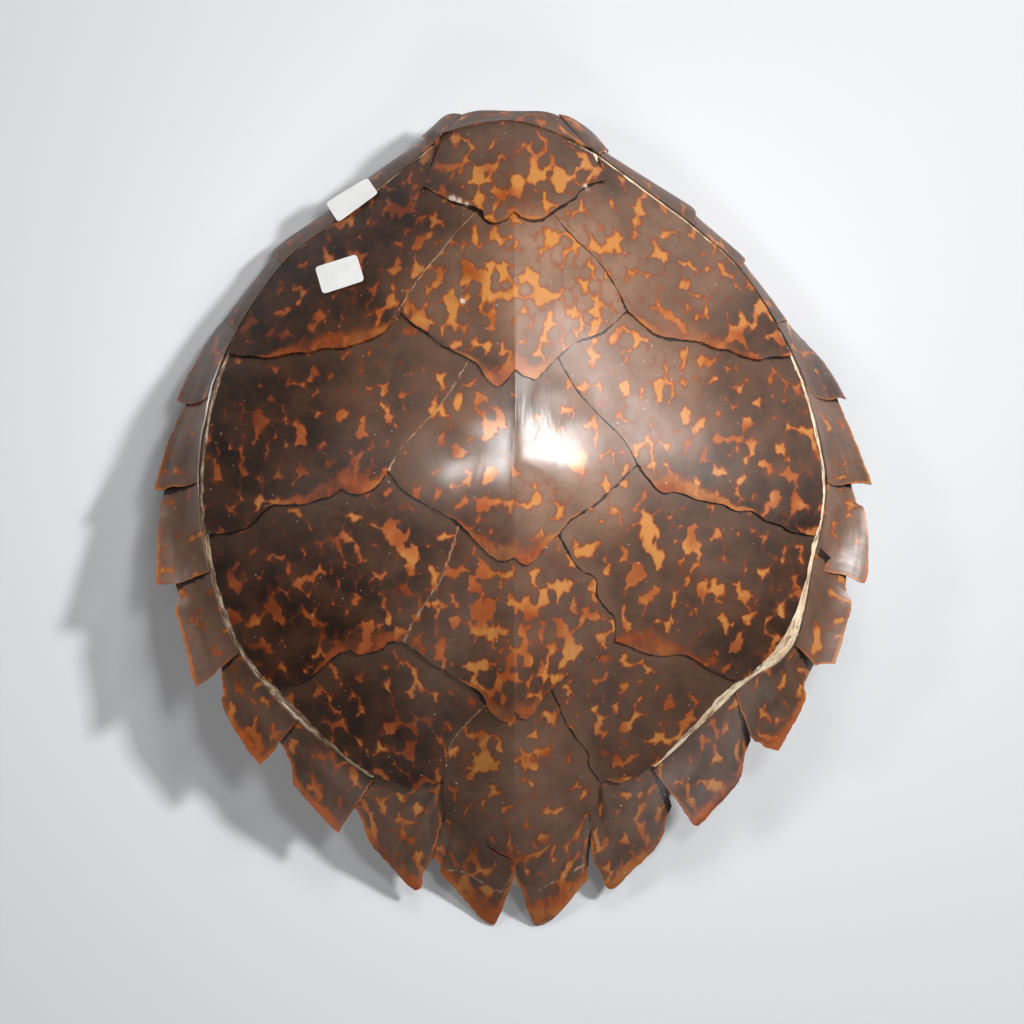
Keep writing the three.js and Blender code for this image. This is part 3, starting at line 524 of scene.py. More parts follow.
# The seams down each side of the second to the fifth vertebral.
vertebralSide = {
    "left": [
        [(-26.5, 212.5), (-40.5, 198.5), (-50.5, 185), (-63, 170), (-74, 153.5), (-80, 143)],
        [(-32, 109.5), (-45, 86.5), (-58, 70.5), (-77, 49.5), (-87.5, 32.5)],
        [(-38.5, -5), (-49.5, -39), (-60, -55.5), (-72, -74), (-76.5, -86)],
        [(-19.5, -130), (-28, -138), (-36.5, -146.5), (-45.5, -160), (-48.5, -179)]],
    "right": [
        [(26, 211), (40, 195), (51, 184), (61, 172.5), (70.5, 156.5), (77, 143)],
        [(29.5, 110.5), (42, 88.5), (59.5, 69), (73.5, 55), (84, 37)],
        [(29.5, -11.5), (38.5, -27.5), (45, -36), (55.5, -41.5), (56.5, -53.5), (63, -62.5), (68.5, -69.5),
         (68.5, -85)],
        [(24.5, -118.5), (33, -137.5), (37, -146), (45, -156), (50.5, -164), (51, -172), (59, -183)]],
}
# Costal rear edges, from the side seam in to the vertebral's corner.
costalRear = {
    "left": [
        [(-199.5, 115), (-185.5, 112.5), (-168, 111.5), (-153.5, 114.5), (-143, 114.5), (-130, 118),
         (-120.5, 117), (-108, 120.5), (-95, 125.5), (-85.5, 133.5), (-80, 143)],
        [(-210.5, -12), (-196.5, -10), (-182.5, -4.5), (-171, 7.5), (-160.5, 9), (-145.5, 9.5), (-133, 13),
         (-125.5, 15.5), (-119.5, 20), (-114, 17), (-105.5, 16.5), (-95, 22), (-87.5, 32.5)],
        [(-165, -111.5), (-156, -116), (-145.5, -113), (-135, -104.5), (-126.5, -97), (-116, -91.5),
         (-106.5, -94), (-91.5, -90), (-87, -85), (-76.5, -86)],
        [(-98.5, -179), (-83.5, -183), (-70, -188), (-62.5, -183), (-54.5, -184.5), (-48.5, -179)]],
    "right": [
        [(189.5, 112.5), (178, 111.5), (168.5, 109.5), (157, 112.5), (147.5, 116.5), (138.5, 117),
         (128, 121.5), (112, 123.5), (98.5, 125.5), (89, 132.5), (77, 143)],
        [(208, -11.5), (191, -9.5), (183.5, -5), (173, -2), (164, 4.5), (153.5, 5), (140.5, 10),
         (131.5, 11), (121, 14.5), (110.5, 18), (100, 18), (90.5, 28.5), (84, 37)],
        [(160.5, -113), (151, -112.5), (142, -107.5), (131.5, -102.5), (123, -97), (112.5, -94),
         (103, -95.5), (89.5, -93), (79, -88.5), (68.5, -85)],
        [(91.5, -178), (73.5, -184), (64.5, -181.5), (59, -183)]],
}
costalSeamEnd = {"left": [4.36, 6.6, 8.45, 10.02], "right": [4.52, 6.8, 8.85, 10.06]}
firstCostalStart = {"left": 0.05, "right": 1.0}
firstVertebralFront = {"left": (-50.5, 267.5), "right": (55, 254)}
# Where the last pair of edge scutes but one reaches in along the costal's rear edge and the vertebral's side.
tailJoint = {
    "left": [(-98.5, -181.5), (-84, -182.5), (-71, -187), (-62.5, -182.5), (-54.5, -184), (-49, -180),
             (-50, -191), (-49, -204)],
    "right": [(96, -174.5), (87, -177.5), (73.5, -183), (65, -180.5), (59, -182), (58, -193), (53, -203)],
}

domeScute = {
    "lap": 7, "lift": 1.9, "lastLift": 3.6, "thickness": 1.7, "suture": 0.22, "chips": 0.9,      # mm
    "waviness": 0.35, "waveSize": 34, "cell": (1.25, 2.2),
    "edgeShare": 0.4, "edgeRun": 9,                  # how thin the rear edge gets, and over how many mm
    "frontShade": 0.06, "spotStrength": 0.24,        # less amber near the scute in front, and more in a spot
    "crackFrom": 20, "crackReach": 9,                # mm: the sutures right of here have opened into dark cracks
}
vertebral = {  # first to fifth
    "amber": (0.03, 0.035, -0.01, 0.035, -0.015),    # a higher figure leaves more amber on that scute
    "band": ("firstVertebral", "vertebral", "vertebral", "vertebral", "lastVertebral"),
    "firstLap": 0.15,                                # the first one meets the neck scute with hardly a lap
}
costal = {     # first to fourth
    "length": (130, 132, 118, 96), "width": (165, 158, 140, 100),    # mm along its growth, and across
    "amber": {"left": (0.0, -0.02, -0.01, -0.005), "right": (0.02, 0.005, 0.0, 0.0)},
    "band": ("firstCostal", "costal", "costal", "lastCostal"),
    "lean": (-26, -6, 16, 34),                       # degrees, so that growth runs along the seam
    "butt": {"left": 0.4, "right": 0.25},            # the first one only butts against the first vertebral here
    "firstLap": 0.1,
}


def seamSide(side, start, end):  # the seam's line moved in by the bare bone's half width
    def at(t):
        s = mix(start, end, t)
        p = seamPoint(side, s).xy
        ragged = 0.8 * rough(p.x * 0.12, p.y * 0.12, 7) + 0.5 * rough(p.x * 0.55, p.y * 0.55, 9)
        return p + (Vector((0, shellForm["centreY"])) - p).normalized() * (gapAt(side, s) + ragged)
    return at


def lapped(surface, lapStart, lapAt):  # below lapStart the sheet runs on under the scute in front
    def at(u, v):
        if v >= lapStart:
            return surface(u, (v - lapStart) / (1 - lapStart))
        edge = surface(u, 0)
        ahead = (edge - surface(u, 0.05)).normalized()
        return edge + ahead * domeScute["lap"] * lapAt(u) * (1 - v / lapStart)
    return at


amberSpots = {  # the biggest blotches: x, y, radius, all mm
    "vertebral_scute_1": [(14, 241, 9), (30, 233, 9), (2, 231, 7), (-24, 238, 7)],
    "vertebral_scute_2": [(-22, 163, 8), (-8, 167, 7), (12, 166, 6), (19, 152, 6), (-44, 152, 7), (-29, 174, 5)],
    "vertebral_scute_3": [(-41, 45, 6), (-18, 59, 7), (-17, 31, 6), (-24, 82, 5), (-40, 79, 5), (42, 41, 7),
                          (15, 13, 4), (-9, 67, 5)],
    "vertebral_scute_4": [(-20, -65, 12), (21, -57, 8), (32, -77, 5), (3, -76, 4), (-43, -71, 5),
                          (10, -99, 5), (-28, -46, 7)],
    "vertebral_scute_5": [(-19, -168, 11), (20, -164, 8), (12, -172, 7)],
    "costal_scute_left_3": [(-82, -12, 10), (-72, -30, 9)],
    "costal_scute_right_2": [(100, 88, 7), (118, 70, 7), (76, 90, 6)],
    "costal_scute_right_3": [(92, -12, 10), (86, -38, 10), (120, -16, 6), (140, -50, 7)],
}


# How wide the orange band along a rear edge is, mm, at even steps from one end of the edge to the other.
edgeBand = {
    "vertebral": [0.5, 0.6, 1.5, 4, 12.5, 16, 12.5, 4, 1.5, 0.6, 0.5],
    "firstCostal": [0.5, 1, 2, 5, 9, 12, 14, 14, 12, 8, 3],
    "costal": [0.5, 0.5, 0.8, 1.4, 4, 8, 13, 18, 19, 13, 4],
    "lastCostal": [0.5, 0.5, 0.6, 0.8, 1, 2, 5, 6, 3.5, 1, 0.6],
    "firstVertebral": [1, 3, 3, 1, 2.5, 4.5, 3.5, 1, 1, 2.2, 2],
    "lastVertebral": [0.8, 0.7, 0.6, 0.6, 1.5, 7, 4, 0.6, 0.6, 0.7, 0.8],
}
# Patches of the shell: x, y and radius in mm, and how much at the middle.
polishedSpots = [  # where handling has left a gloss
    (18, 62, 46, 1.0), (-22, 50, 42, 0.85), (22, 150, 70, 0.25), (90, 80, 60, 0.08), (0, 230, 60, 0.3),
]
paintedSheenSpots = [      # where a pale veil of painted sheen lies on the horn
    (36, 165, 62, 1.0), (-34, 160, 44, 0.55), (0, 235, 60, 0.4), (80, 85, 66, 0.75), (105, 175, 66, 0.6),
    (36, 24, 52, 0.8), (-36, 50, 50, 0.4), (165, 70, 60, 0.25), (20, -60, 60, 0.35), (-30, -80, 60, 0.2),
    (10, -190, 60, 0.5), (90, -120, 70, 0.25), (-70, 90, 60, 0.2), (110, -40, 60, 0.25), (-60, 160, 40, 0.2),
]
whiteChips = [     # splinters broken white, on the first vertebral's rear edge and the second's flank
    (-44, 222, 2.6), (-39, 220, 2.6), (-34, 217.5, 2.4), (49, 231, 2.2), (-35.7, 150, 2.6),
]


def patchiness(patches, x, y):
    return max(amount * smooth(1.45 - math.hypot(x - px, y - py) / radius) for px, py, radius, amount in patches)


def stepped(values, share):
    place = min(max(share, 0.0), 1.0) * (len(values) - 1)
    low = min(int(place), len(values) - 2)
    return mix(values[low], values[low + 1], smooth(place - low))


def domePlate(node, seed, surface, width, length, rearLift, biasBase, band, sutures=(True, True),
              lapAt=lambda u: 1.0, lean=0.0):
    setting = domeScute
    columns, rows = round(width / setting["cell"][0]), round(length / setting["cell"][1])
    columns += columns % 2
    lapStart = setting["lap"] / (length + setting["lap"])
    place = lapped(surface, lapStart, lapAt)
    bm, across, along = sheet(columns, rows, lambda u, v: onDome(place(u, v)),
                              lambda t: 1 - (1 - t) ** 1.25)             # rows closer together at the rear edge
    size = setting["waveSize"]
    for vert in bm.verts:
        v = vert[along]
        wave = setting["waviness"] * rough(vert.co.x / size, vert.co.y / size, seed, 2) * smooth(v * 3)
        wave *= 1 - 0.8 * min(patchiness(polishedSpots, vert.co.x, vert.co.y), 1)   # rubbed even with the gloss
        vert.co += vert.normal * (rearLift * smooth((v - lapStart) / (1 - lapStart) * 1.05) ** 1.3 + wave)
    spots = amberSpots.get(node, [])
    full = length + setting["lap"]
    cosLean, sinLean = math.cos(lean), math.sin(lean)

    def mapsAt(u, v, co):
        visible = (v - lapStart) / (1 - lapStart)
        bias = biasBase - setting["frontShade"] * (1 - smooth(visible * 6))
        for x, y, radius in spots:
            bias = max(bias, setting["spotStrength"] * (1.1 - math.hypot(co.x - x, (co.y - y) * 0.8) / radius))
        side = min(u if sutures[0] else 9, 1 - u if sutures[1] else 9) * width
        # mm behind the scute in front, where the crack colour paints the step's shadow
        front = (v * full - setting["lap"]) if lapAt(u) > 0.5 else 30
        if co.x > setting["crackFrom"] and side < setting["crackReach"]:
            front, side = min(front, side * 1.5 + 0.7), 30
        reach = stepped(edgeBand[band], u)           # where it is under about 2 mm, the band fades out
        # painted sheen from the spots, then the real white chips
        paleAndSheen = patchiness(paintedSheenSpots, co.x, co.y)
        for x, y, radius in whiteChips:
            paleAndSheen = max(paleAndSheen, 2.2 * smooth(1.6 - math.hypot(co.x - x, co.y - y) / radius))
        # the seed moves each scute to its own stretch of the pattern
        return ((co.x * cosLean - co.y * sinLean + seed * 173.0, co.x * sinLean + co.y * cosLean + seed * 91.0),
                ((1 - v) * full / reach + 1.2 * smooth((2.4 - reach) / 1.4), side), bias,
                patchiness(polishedSpots, co.x, co.y), front, paleAndSheen)
    layMaps(bm, across, along, mapsAt)
    finishPlate(bm, node, domeHorn, setting["thickness"],
                lambda u, v: mix(setting["edgeShare"], 1.0, smooth((1 - v) * full / setting["edgeRun"])))


def drawIn(curve, towards, amount):  # a suture's line drawn in from the neighbour's
    def at(t):
        p = curve(t)
        return p + (Vector(towards) - p).normalized() * amount
    return at


def tuckedFront(n, side):  # the stretch of a rear edge that the next vertebral starts under
    rear = [Vector(p) for p in vertebralRear[n]]
    notch = next(i for i, p in enumerate(rear) if p.x == 0)
    start = Vector(vertebralSide[side][n][0])
    if side == "left":
        return outline([start] + [p for p in rear[:notch] if p.x > start.x + 4] + [rear[notch]])
    return outline([rear[notch]] + [p for p in rear[notch + 1:] if p.x < start.x - 4] + [start])


def makeVertebral(n):
    rear = vertebralRear[n]
    notch = [p[0] for p in rear].index(0)
    seed = n + 1
    rearLeft = outline(rear[:notch + 1], domeScute["chips"], seed)
    rearRight = outline(rear[notch:], domeScute["chips"], seed)
    if n == 0:
        frontPoint = Vector((0, shellForm["neck"][1] - 1))
        frontLeft, frontRight = seamSide("left", 0, -1), seamSide("right", -1, 0)
        outerLeft = outline([firstVertebralFront["left"], rear[0]])
        outerRight = outline([firstVertebralFront["right"], rear[-1]])
    else:
        frontPoint = Vector([p for p in vertebralRear[n - 1] if p[0] == 0][0])
        frontLeft, frontRight = tuckedFront(n - 1, "left"), tuckedFront(n - 1, "right")
        outerLeft = outline(vertebralSide["left"][n - 1])
        outerRight = outline(vertebralSide["right"][n - 1])
    middle = (0, (frontPoint.y + rear[notch][1]) / 2)
    outerLeft = drawIn(outerLeft, middle, domeScute["suture"])
    outerRight = drawIn(outerRight, middle, domeScute["suture"])
    keel = outline([frontPoint, rear[notch]])
    left = patch(frontLeft, rearLeft, outerLeft, keel)
    right = patch(frontRight, rearRight, keel, outerRight)

    def surface(u, v):
        return left(u * 2, v) if u <= 0.5 else right(u * 2 - 1, v)
    width = (rear[-1][0] - rear[0][0]) * 0.9
    length = (frontPoint.y - rear[notch][1]) * 1.05
    domePlate(f"vertebral_scute_{n + 1}", seed, surface, width, length, domeScute["lastLift" if n == 4 else "lift"],
              vertebral["amber"][n], vertebral["band"][n], (n > 0, n > 0),
              lambda u: 1.0 if n else vertebral["firstLap"])


def costalFront(side, n, start):
    sign = -1 if side == "left" else 1
    rear = [Vector(p) for p in (vertebralRear[n] if side == "left" else vertebralRear[n][::-1])]
    corner, sideStart = rear[0], Vector(vertebralSide[side][n][0])
    stretch = [p for p in rear if p.x * sign > abs(sideStart.x) + 5] + [sideStart]
    if n > 0:
        return joinedLines(outline([start] + costalRear[side][n - 1][1:]), outline(stretch), 0.7)
    return joinedLines(outline([start, corner]), outline(stretch), costal["butt"][side])


def makeCostal(side, n):
    ends = costalSeamEnd[side]
    outer = seamSide(side, firstCostalStart[side] if n == 0 else ends[n - 1], ends[n])
    front = costalFront(side, n, tuple(outer(0)))
    seed = 10 + n + (5 if side == "left" else 0)
    rear = outline([tuple(outer(1))] + costalRear[side][n][1:], domeScute["chips"], seed)
    centre = Vector(costalRear[side][n][len(costalRear[side][n]) // 2])
    inner = drawIn(outline(vertebralSide[side][n]), centre + Vector((0, 30)), domeScute["suture"])
    butt = costal["butt"][side]
    lean = math.radians(costal["lean"][n]) * (1 if side == "right" else -1)
    domePlate(f"costal_scute_{side}_{n + 1}", seed, patch(front, rear, outer, inner), costal["width"][n],
              costal["length"][n], domeScute["lastLift" if n == 3 else "lift"], costal["amber"][side][n],
              costal["band"][n], (False, True),
              lambda u: 1.0 if n else mix(costal["firstLap"], 1.0, smooth((u - butt) * 8)), lean)


for n in range(5):
    makeVertebral(n)
for side in sides:
    for n in range(4):
        makeCostal(side, n)
print("dome scutes ready")


edgeScute = {
    "thickness": 1.7, "lift": 2.6, "seamLift": 0.5, "lap": 5, "chips": 0.7, "cell": 1.5,     # mm
    "waviness": 0.3, "waveSize": 22, "edgeShare": 0.5, "edgeRun": 7, "flakeStep": 0.5, "tailRise": 0.7,
    # how wide the orange band along each one's outer edge is, and how glossy each is
    "band": [0.7, 0.8, 0.9, 1.4, 1.8, 1.8, 2.0, 2.6, 5, 6, 7, 11],
    "polish": [0.1, 0.1, 0.1, 0.15, 0.3, 0.35, 0.3, 0.25, 0.25, 0.2, 0.2, 0.2],
    # how much pale veil of painted sheen lies on each
    "paleAndSheen": [0.25, 0.25, 0.25, 0.2, 0.25, 0.5, 0.6, 0.5, 0.25, 0.2, 0.3, 0.3],
    # how far each is hollowed across its width, and how far its outer edge bows
    "dish": [-2.5, -3, -3, -2, 2, 4, 5, 3.5, 2.5, 1.5, 1, 0.5],
    "bow": [5.5, 1, 1, 1, 2, 3, 3.5, 3.5, 5, 5, 5, 5],
    "tailSplit": 4.5,
}
neckRim = {"left": [(-38, 283.5), (-44, 284), (-50, 281.5), (-57, 273.5), (-63.5, 266.5)],
           "right": [(31, 283.5), (39.5, 281), (51, 272.5), (58, 264), (63.5, 255.5)]}
# Where the outer layer has flaked off the last pair, leaving a pale ragged step.
flakeLine = {"left": [(-53, -247), (-50.9, -247.9), (-36.2, -249.2), (-22.8, -257.3), (-9.4, -263.9), (-2, -251)],
             "right": [(2, -251), (5.3, -259.9), (17.4, -262.6), (25.4, -257.3), (43.5, -247.2), (52, -243)]}
# Rear tips, neck to tail: x, y, z, and how far along the rear edge the next scute's front corner sits.
tips = {
    "right": [(63.5, 255.5, 28, 1), (121, 218, 9, 1), (158.5, 181, 0.5, 1), (190, 136.5, 9, 1),
              (229, 81, 30, 0.9), (247, 21, 49, 0.82), (243, -46.5, 66, 0.69), (221.5, -102.5, 69, 0.6),
              (182.5, -162, 58, 0.63), (126.5, -214, 37, 0.6), (66.5, -259, 12, 0.56), (15.5, -285.5, -1.2, 1)],
    "left": [(-63.5, 266.5, 28, 1), (-130, 218, 9, 1), (-169, 187, 0.8, 1), (-202, 139, 9, 1),
             (-234.5, 80, 30, 0.82), (-250, 19, 49, 0.85), (-247, -48, 66, 0.71), (-221, -118, 69, 0.52),
             (-176, -172, 58, 0.52), (-122.5, -220, 37, 0.57), (-69.5, -260.5, 12, 0.62),
             (-14.5, -285.5, -1.2, 1)],
}
neckCorner = {"right": (31, 281, 38), "left": (-38, 282, 38)}
# From the fifth back, each edge scute's outer edge from its front corner to its tip, then its rear edge.
flared = {
    "left": [
        ([(-204.5, 140.5), (-213.5, 128.5), (-227.5, 102.5), (-236.5, 81)],
         [(-236.5, 81), (-231.5, 79.5), (-226, 79), (-220.5, 80)]),
        ([(-231.5, 79.5), (-238.5, 65), (-245.5, 44), (-252, 19)],
         [(-252, 19), (-246.5, 18.5), (-240, 20.5), (-230.5, 21.5)]),
        ([(-246.5, 16.5), (-249, 2), (-250, -16.5), (-250.5, -45), (-249, -48)],
         [(-249, -48), (-241, -46.5), (-236, -46.5), (-230.5, -44.5), (-217.5, -39.5)]),
        ([(-236.5, -49.5), (-234.5, -57), (-237.5, -64), (-236, -71), (-231, -87), (-227, -105.5),
          (-222.5, -118.5)],
         [(-222.5, -118.5), (-214, -113), (-209.5, -109.5), (-206.5, -106)]),
        ([(-205, -107), (-204.5, -116.5), (-203, -123.5), (-205, -128.5), (-201, -139), (-193, -152),
          (-186, -163.5), (-178, -173)],
         [(-178, -173), (-171.5, -166), (-167.5, -161.5), (-164.5, -156.5)]),
        ([(-164, -158), (-159, -167.5), (-156, -177), (-155.5, -185), (-152, -191), (-142, -202),
          (-132.5, -212.5), (-124, -221)],
         [(-124, -221), (-117.5, -209.5), (-114, -205)]),
        ([(-114, -203.5), (-110, -207), (-105, -221), (-99.5, -231.5), (-87.5, -244), (-76.5, -256.5),
          (-70, -261.5)],
         [(-70, -261.5), (-66, -259.5), (-64.5, -249.5), (-59, -239)]),
        ([(-59, -239), (-52, -244.5), (-52, -251), (-43.5, -260), (-32, -272.5), (-22.5, -282.5),
          (-14.5, -286.5)],
         [(-14.5, -286.5), (-10.5, -279.5), (-7.5, -270.5), (-3, -258), (-0.6, -251.5)])],
    "right": [
        ([(192, 137.5), (207, 120), (218.5, 105.5), (231, 82)],
         [(231, 82), (227.5, 83), (220.5, 81.5), (212, 83)]),
        ([(227.5, 81.5), (231.5, 72), (237.5, 55.5), (244.5, 35.5), (249, 22)],
         [(249, 22), (241, 23.5), (236, 23.5), (224, 22)]),
        ([(236, 22), (237.5, 15), (240, 9.5), (243.5, 8), (245.5, 2.5), (247, -16.5), (246.5, -39.5),
          (244.5, -46.5)],
         [(244.5, -46.5), (241, -46), (232.5, -41.5), (213.5, -36)]),
        ([(231.5, -42.5), (231.5, -51.5), (235, -58.5), (234.5, -65.5), (231, -76.5), (227.5, -90.5),
          (223.5, -102.5)],
         [(223.5, -102.5), (219, -102.5), (212, -102.5), (208, -102)]),
        ([(206.5, -107), (202.5, -116), (202.5, -120), (203.5, -125.5), (199.5, -135.5), (192.5, -148),
          (184, -163)],
         [(184, -163), (175, -160.5), (171, -156.5), (165, -153)]),
        ([(163, -160), (160.5, -167), (159, -180), (154.5, -188), (144, -199), (133, -210.5), (128, -215)],
         [(128, -215), (124.5, -214.5), (120.5, -208), (114, -199)]),
        ([(108, -207), (105.5, -213), (104.5, -221), (102, -227), (96, -235.5), (82.5, -247.5),
          (71.5, -258.5), (67, -260)],
         [(67, -260), (64.5, -258.5), (61.5, -249.5), (54.5, -235.5)]),
        ([(51, -244.5), (51, -255), (45.5, -261.5), (36.5, -272), (25, -283), (15.5, -286.5)],
         [(15.5, -286.5), (12.5, -284.5), (8.5, -272.5), (5, -261.5), (0.6, -251.5)])],
}


def seamEdge(side, s):  # where the edge scutes start: the seam's line moved out
    p = seamPoint(side, s)
    outward = Vector((p.x, p.y - shellForm["centreY"], 0)).normalized()
    return p + outward * gapAt(side, s)


def rearLine(side, k):
    inner = seamEdge(side, k + 1)
    outer = Vector(neckCorner[side] if k < 0 else tips[side][k][:3])
    chord = outer - inner
    normal = (seamPoint(side, min(k + 1.2, 12)) - seamPoint(side, k + 0.8)).cross(chord).normalized()
    if normal.dot(inner - hollowMiddle) < 0:
        normal.negate()
    depth = 0 if k < 0 else edgeScute["dish"][k]
    split = math.copysign(edgeScute["tailSplit"], outer.x) if k == 11 else 0

    def at(share):
        hump = 4 * share * (1 - share)
        return inner + chord * share - normal * depth * hump - Vector((split * hump, 0, 0))
    return at


def edgeSurface(side, k):
    frontLine, backLine = rearLine(side, k - 1), rearLine(side, k)
    reach = 1 if k == 0 else tips[side][k - 1][3]
    bowWay = ((frontLine(reach) + backLine(1)) * 0.5 - seamEdge(side, k + 0.5)).normalized()
    trueOuter = trueRear = None
    if k >= 4:
        rim, rear = flared[side][k - 4]
        trueOuter = outline(rim, edgeScute["chips"], k)
        trueRear = outline([tuple(seamEdge(side, k + 1).xy)] + rear[::-1], edgeScute["chips"], k + 20)
    if k == 0:
        trueOuter = outline(neckRim[side])
    reachesIn = outline(tailJoint[side]) if k == 10 else None

    def plain(out, along):
        straight = seamEdge(side, k).lerp(seamEdge(side, k + 1), along)
        bend = (onDome(reachesIn(along)) if reachesIn else seamEdge(side, k + along)) - straight
        p = frontLine(out * reach).lerp(backLine(out), along) + bend * (1 - out)
        return p + bowWay * out * edgeScute["bow"][k] * 4 * along * (1 - along)

    def inside(out, along):
        p = plain(out, along)
        if trueOuter:
            move = (trueOuter(along) - plain(1, along).xy) * out
            if trueRear:
                toRear = trueRear(out) - plain(out, 1).xy
                tipMove = trueRear(1) - plain(1, 1).xy
                move += (toRear - tipMove * out) * along
            p = p + Vector((move.x, move.y, 0))
        return p
    return inside


def pastFlake(side, co):  # mm in front of the flaked step; less than nothing towards the tip
    line = flakeLine[side]
    i = next((j for j in range(1, len(line)) if co.x < line[j][0]), len(line) - 1)
    (x0, y0), (x1, y1) = line[i - 1], line[i]
    return co.y - mix(y0, y1, (co.x - x0) / (x1 - x0)) + 0.9 * rough(co.x * 0.3, co.y * 0.3, 17)


def makeEdgeScute(side, k):
    setting = edgeScute
    surface = edgeSurface(side, k)
    width = (surface(1, 0.6) - surface(0, 0.6)).length
    length = (surface(0.5, 1) - surface(0.5, 0)).length
    seed = 30 + k + (15 if side == "left" else 0)
    lapStart = 0 if k == 0 else setting["lap"] / (length + setting["lap"])

    def place(u, v):
        if v >= lapStart:
            return surface(u, (v - lapStart) / (1 - lapStart) if lapStart else v)
        edge = surface(u, 0)
        ahead = (edge - surface(u, 0.06)).normalized()
        return edge + ahead * setting["lap"] * (1 - v / lapStart)
    columns, rows = round(width / setting["cell"]), round((length + setting["lap"]) / setting["cell"])
    bm, across, along = sheet(columns, rows, place)
    size = setting["waveSize"]
    for vert in bm.verts:
        u, v = vert[across], vert[along]
        visible = (v - lapStart) / (1 - lapStart)
        raised = mix(setting["seamLift"], setting["lift"], smooth(u * 2)) * smooth(visible)
        wave = setting["waviness"] * rough(vert.co.x / size, vert.co.y / size, seed, 2) * smooth(visible * 3)
        vert.co += vert.normal * (raised + wave)
        if k == 11:
            vert.co.z += setting["tailRise"] * smooth(u)
            vert.co += vert.normal * setting["flakeStep"] * smooth(pastFlake(side, vert.co) + 0.5)

    def mapsAt(u, v, co):
        visible = (v - lapStart) / (1 - lapStart)
        outer = (1 - u) * width / (setting["band"][k] * mix(0.8, 1.7, smooth(visible)))
        rear = (1 - visible) * length / (1.2 + 0.4 * setting["band"][k] * smooth(u * 1.2))
        beyond = pastFlake(side, co) if k == 11 else 30
        bias = (0.005 if k >= 8 else -0.015) + 0.03 * u + (0.05 if beyond < 0 else 0)
        # the fifth figure, mm behind the scute in front, places the painted shadow in the step
        return ((v * length + seed * 137.0, u * width + seed * 61.0),
                (min(outer, rear), min(u * width + 3, abs(beyond) * 0.6)), bias, setting["polish"][k],
                visible * length if k else 30, setting["paleAndSheen"][k])
    layMaps(bm, across, along, mapsAt)
    node = f"supracaudal_scute_{side}" if k == 11 else f"marginal_scute_{side}_{k + 1}"

    def thinAt(u, v):  # thin along the seam, the outer edge and the rear edge
        inward = min((1 - u) * width, (1 - v) * length, u * width + 3)
        return mix(setting["edgeShare"], 1.0, smooth(inward / setting["edgeRun"]))
    finishPlate(bm, node, rimHorn, setting["thickness"], thinAt)


for side in sides:
    for k in range(12):
        makeEdgeScute(side, k)

nuchal = {
    "rim": [(-38, 282, 38), (-24.5, 285, 42), (0, 284.5, 44), (17.5, 284.5, 43), (26, 283, 41), (31, 281, 38)],
    "lift": 0.9, "thickness": 1.7, "edgeShare": 0.5,
}


def makeNuchal():
    rim = [Vector(p) for p in nuchal["rim"]]

    def place(u, v):
        inner = seamPoint("left", -2 * u) if u <= 0.5 else seamPoint("right", 2 * u - 2)
        return spline(rim, u * (len(rim) - 1)).lerp(inner, v)
    bm, across, along = sheet(58, 16, place)
    for vert in bm.verts:
        vert.co += vert.normal * nuchal["lift"]
    # its last figure is a light veil of painted sheen
    layMaps(bm, across, along, lambda u, v, co: ((u * 100 + 900, v * 30), (v * 25 + 3, 9), 0.0, 0.2, 30, 0.3))
    finishPlate(bm, "nuchal_scute", domeHorn, nuchal["thickness"],
                lambda u, v: mix(nuchal["edgeShare"], 1.0, smooth(v * 5)))


makeNuchal()
print("edge scutes ready")


boneForm = {  # mm
    "under": 2.9, "ridge": 2.7, "thickness": 5.5, "rimReach": 0.5,
    "spineDepth": 9, "spineHalf": 8.5, "ribs": 8, "ribHeight": 2.6, "ribHalf": 7,
    "ribSpacing": 45, "firstRib": 178, "beadSpacing": 38,
    # the mesh: shares of a spoke's rows, finest in the strip by the seam
    "spokes": 336, "rings": 72, "fieldAt": 0.55, "seamAt": 0.82, "strip": 11,
}


def boneLine(turn):  # the seam point, and the rim point under the edge scutes, on one spoke
    s, share = turn * 26, boneForm["rimReach"]
    side = "right" if s <= 12 or s > 25 else "left"
    s = s if s <= 12 else 24 - s if s <= 25 else s - 26
    if s < 1:                                        # over the neck, from the first joint to the middle
        t = (1 - s) / 2
        joint, neck = seamPoint(side, 1), seamLoop[0]
        seam = joint.lerp(neck, t)
        seam.y += 3 * math.sin(math.pi * t)
        rims = [rearLine(side, 0)(share), rearLine(side, -1)(share), neck.lerp(Vector((0, 283.5, 44)), share)]
        rim = rims[0].lerp(rims[1], t / 0.3) if t < 0.3 else rims[1].lerp(rims[2], (t - 0.3) / 0.7)
        return seam, rim, gapAt(side, 0)
    k = min(int(s), 11)
    seam = seamPoint(side, s)
    rim = rearLine(side, k - 1)(share).lerp(rearLine(side, k)(share), s - k)
    bend = seamEdge(side, s) - seamEdge(side, k).lerp(seamEdge(side, k + 1), s - k)
    return seam, rim + bend * (1 - share), gapAt(side, s)


def ribRelief(x, y):  # the backbone and ribs that stand out inside
    form = boneForm
    along = min(max((y + 205) / 440, 0), 1)
    ends = smooth(along * 9) * smooth((1 - along) * 9)
    beads = 0.8 + 0.2 * math.cos(y / form["beadSpacing"] * 2 * math.pi)
    spine = form["spineDepth"] * ends * beads * smooth(1.6 - abs(x) / (form["spineHalf"] * (0.75 + 0.25 * beads)))
    rib = 0.0
    for i in range(form["ribs"]):
        root = form["firstRib"] - i * form["ribSpacing"]
        fan = (root - 20) * 0.0016
        line = root + fan * abs(x)
        width = form["ribHalf"] * (1.1 - abs(x) / 380)
        body = smooth((abs(x) - 4) / 16) * smooth((205 - abs(x)) / 60)
        rib = max(rib, form["ribHeight"] * math.exp(-((y - line) / width) ** 2) * body)
    return max(spine, rib)


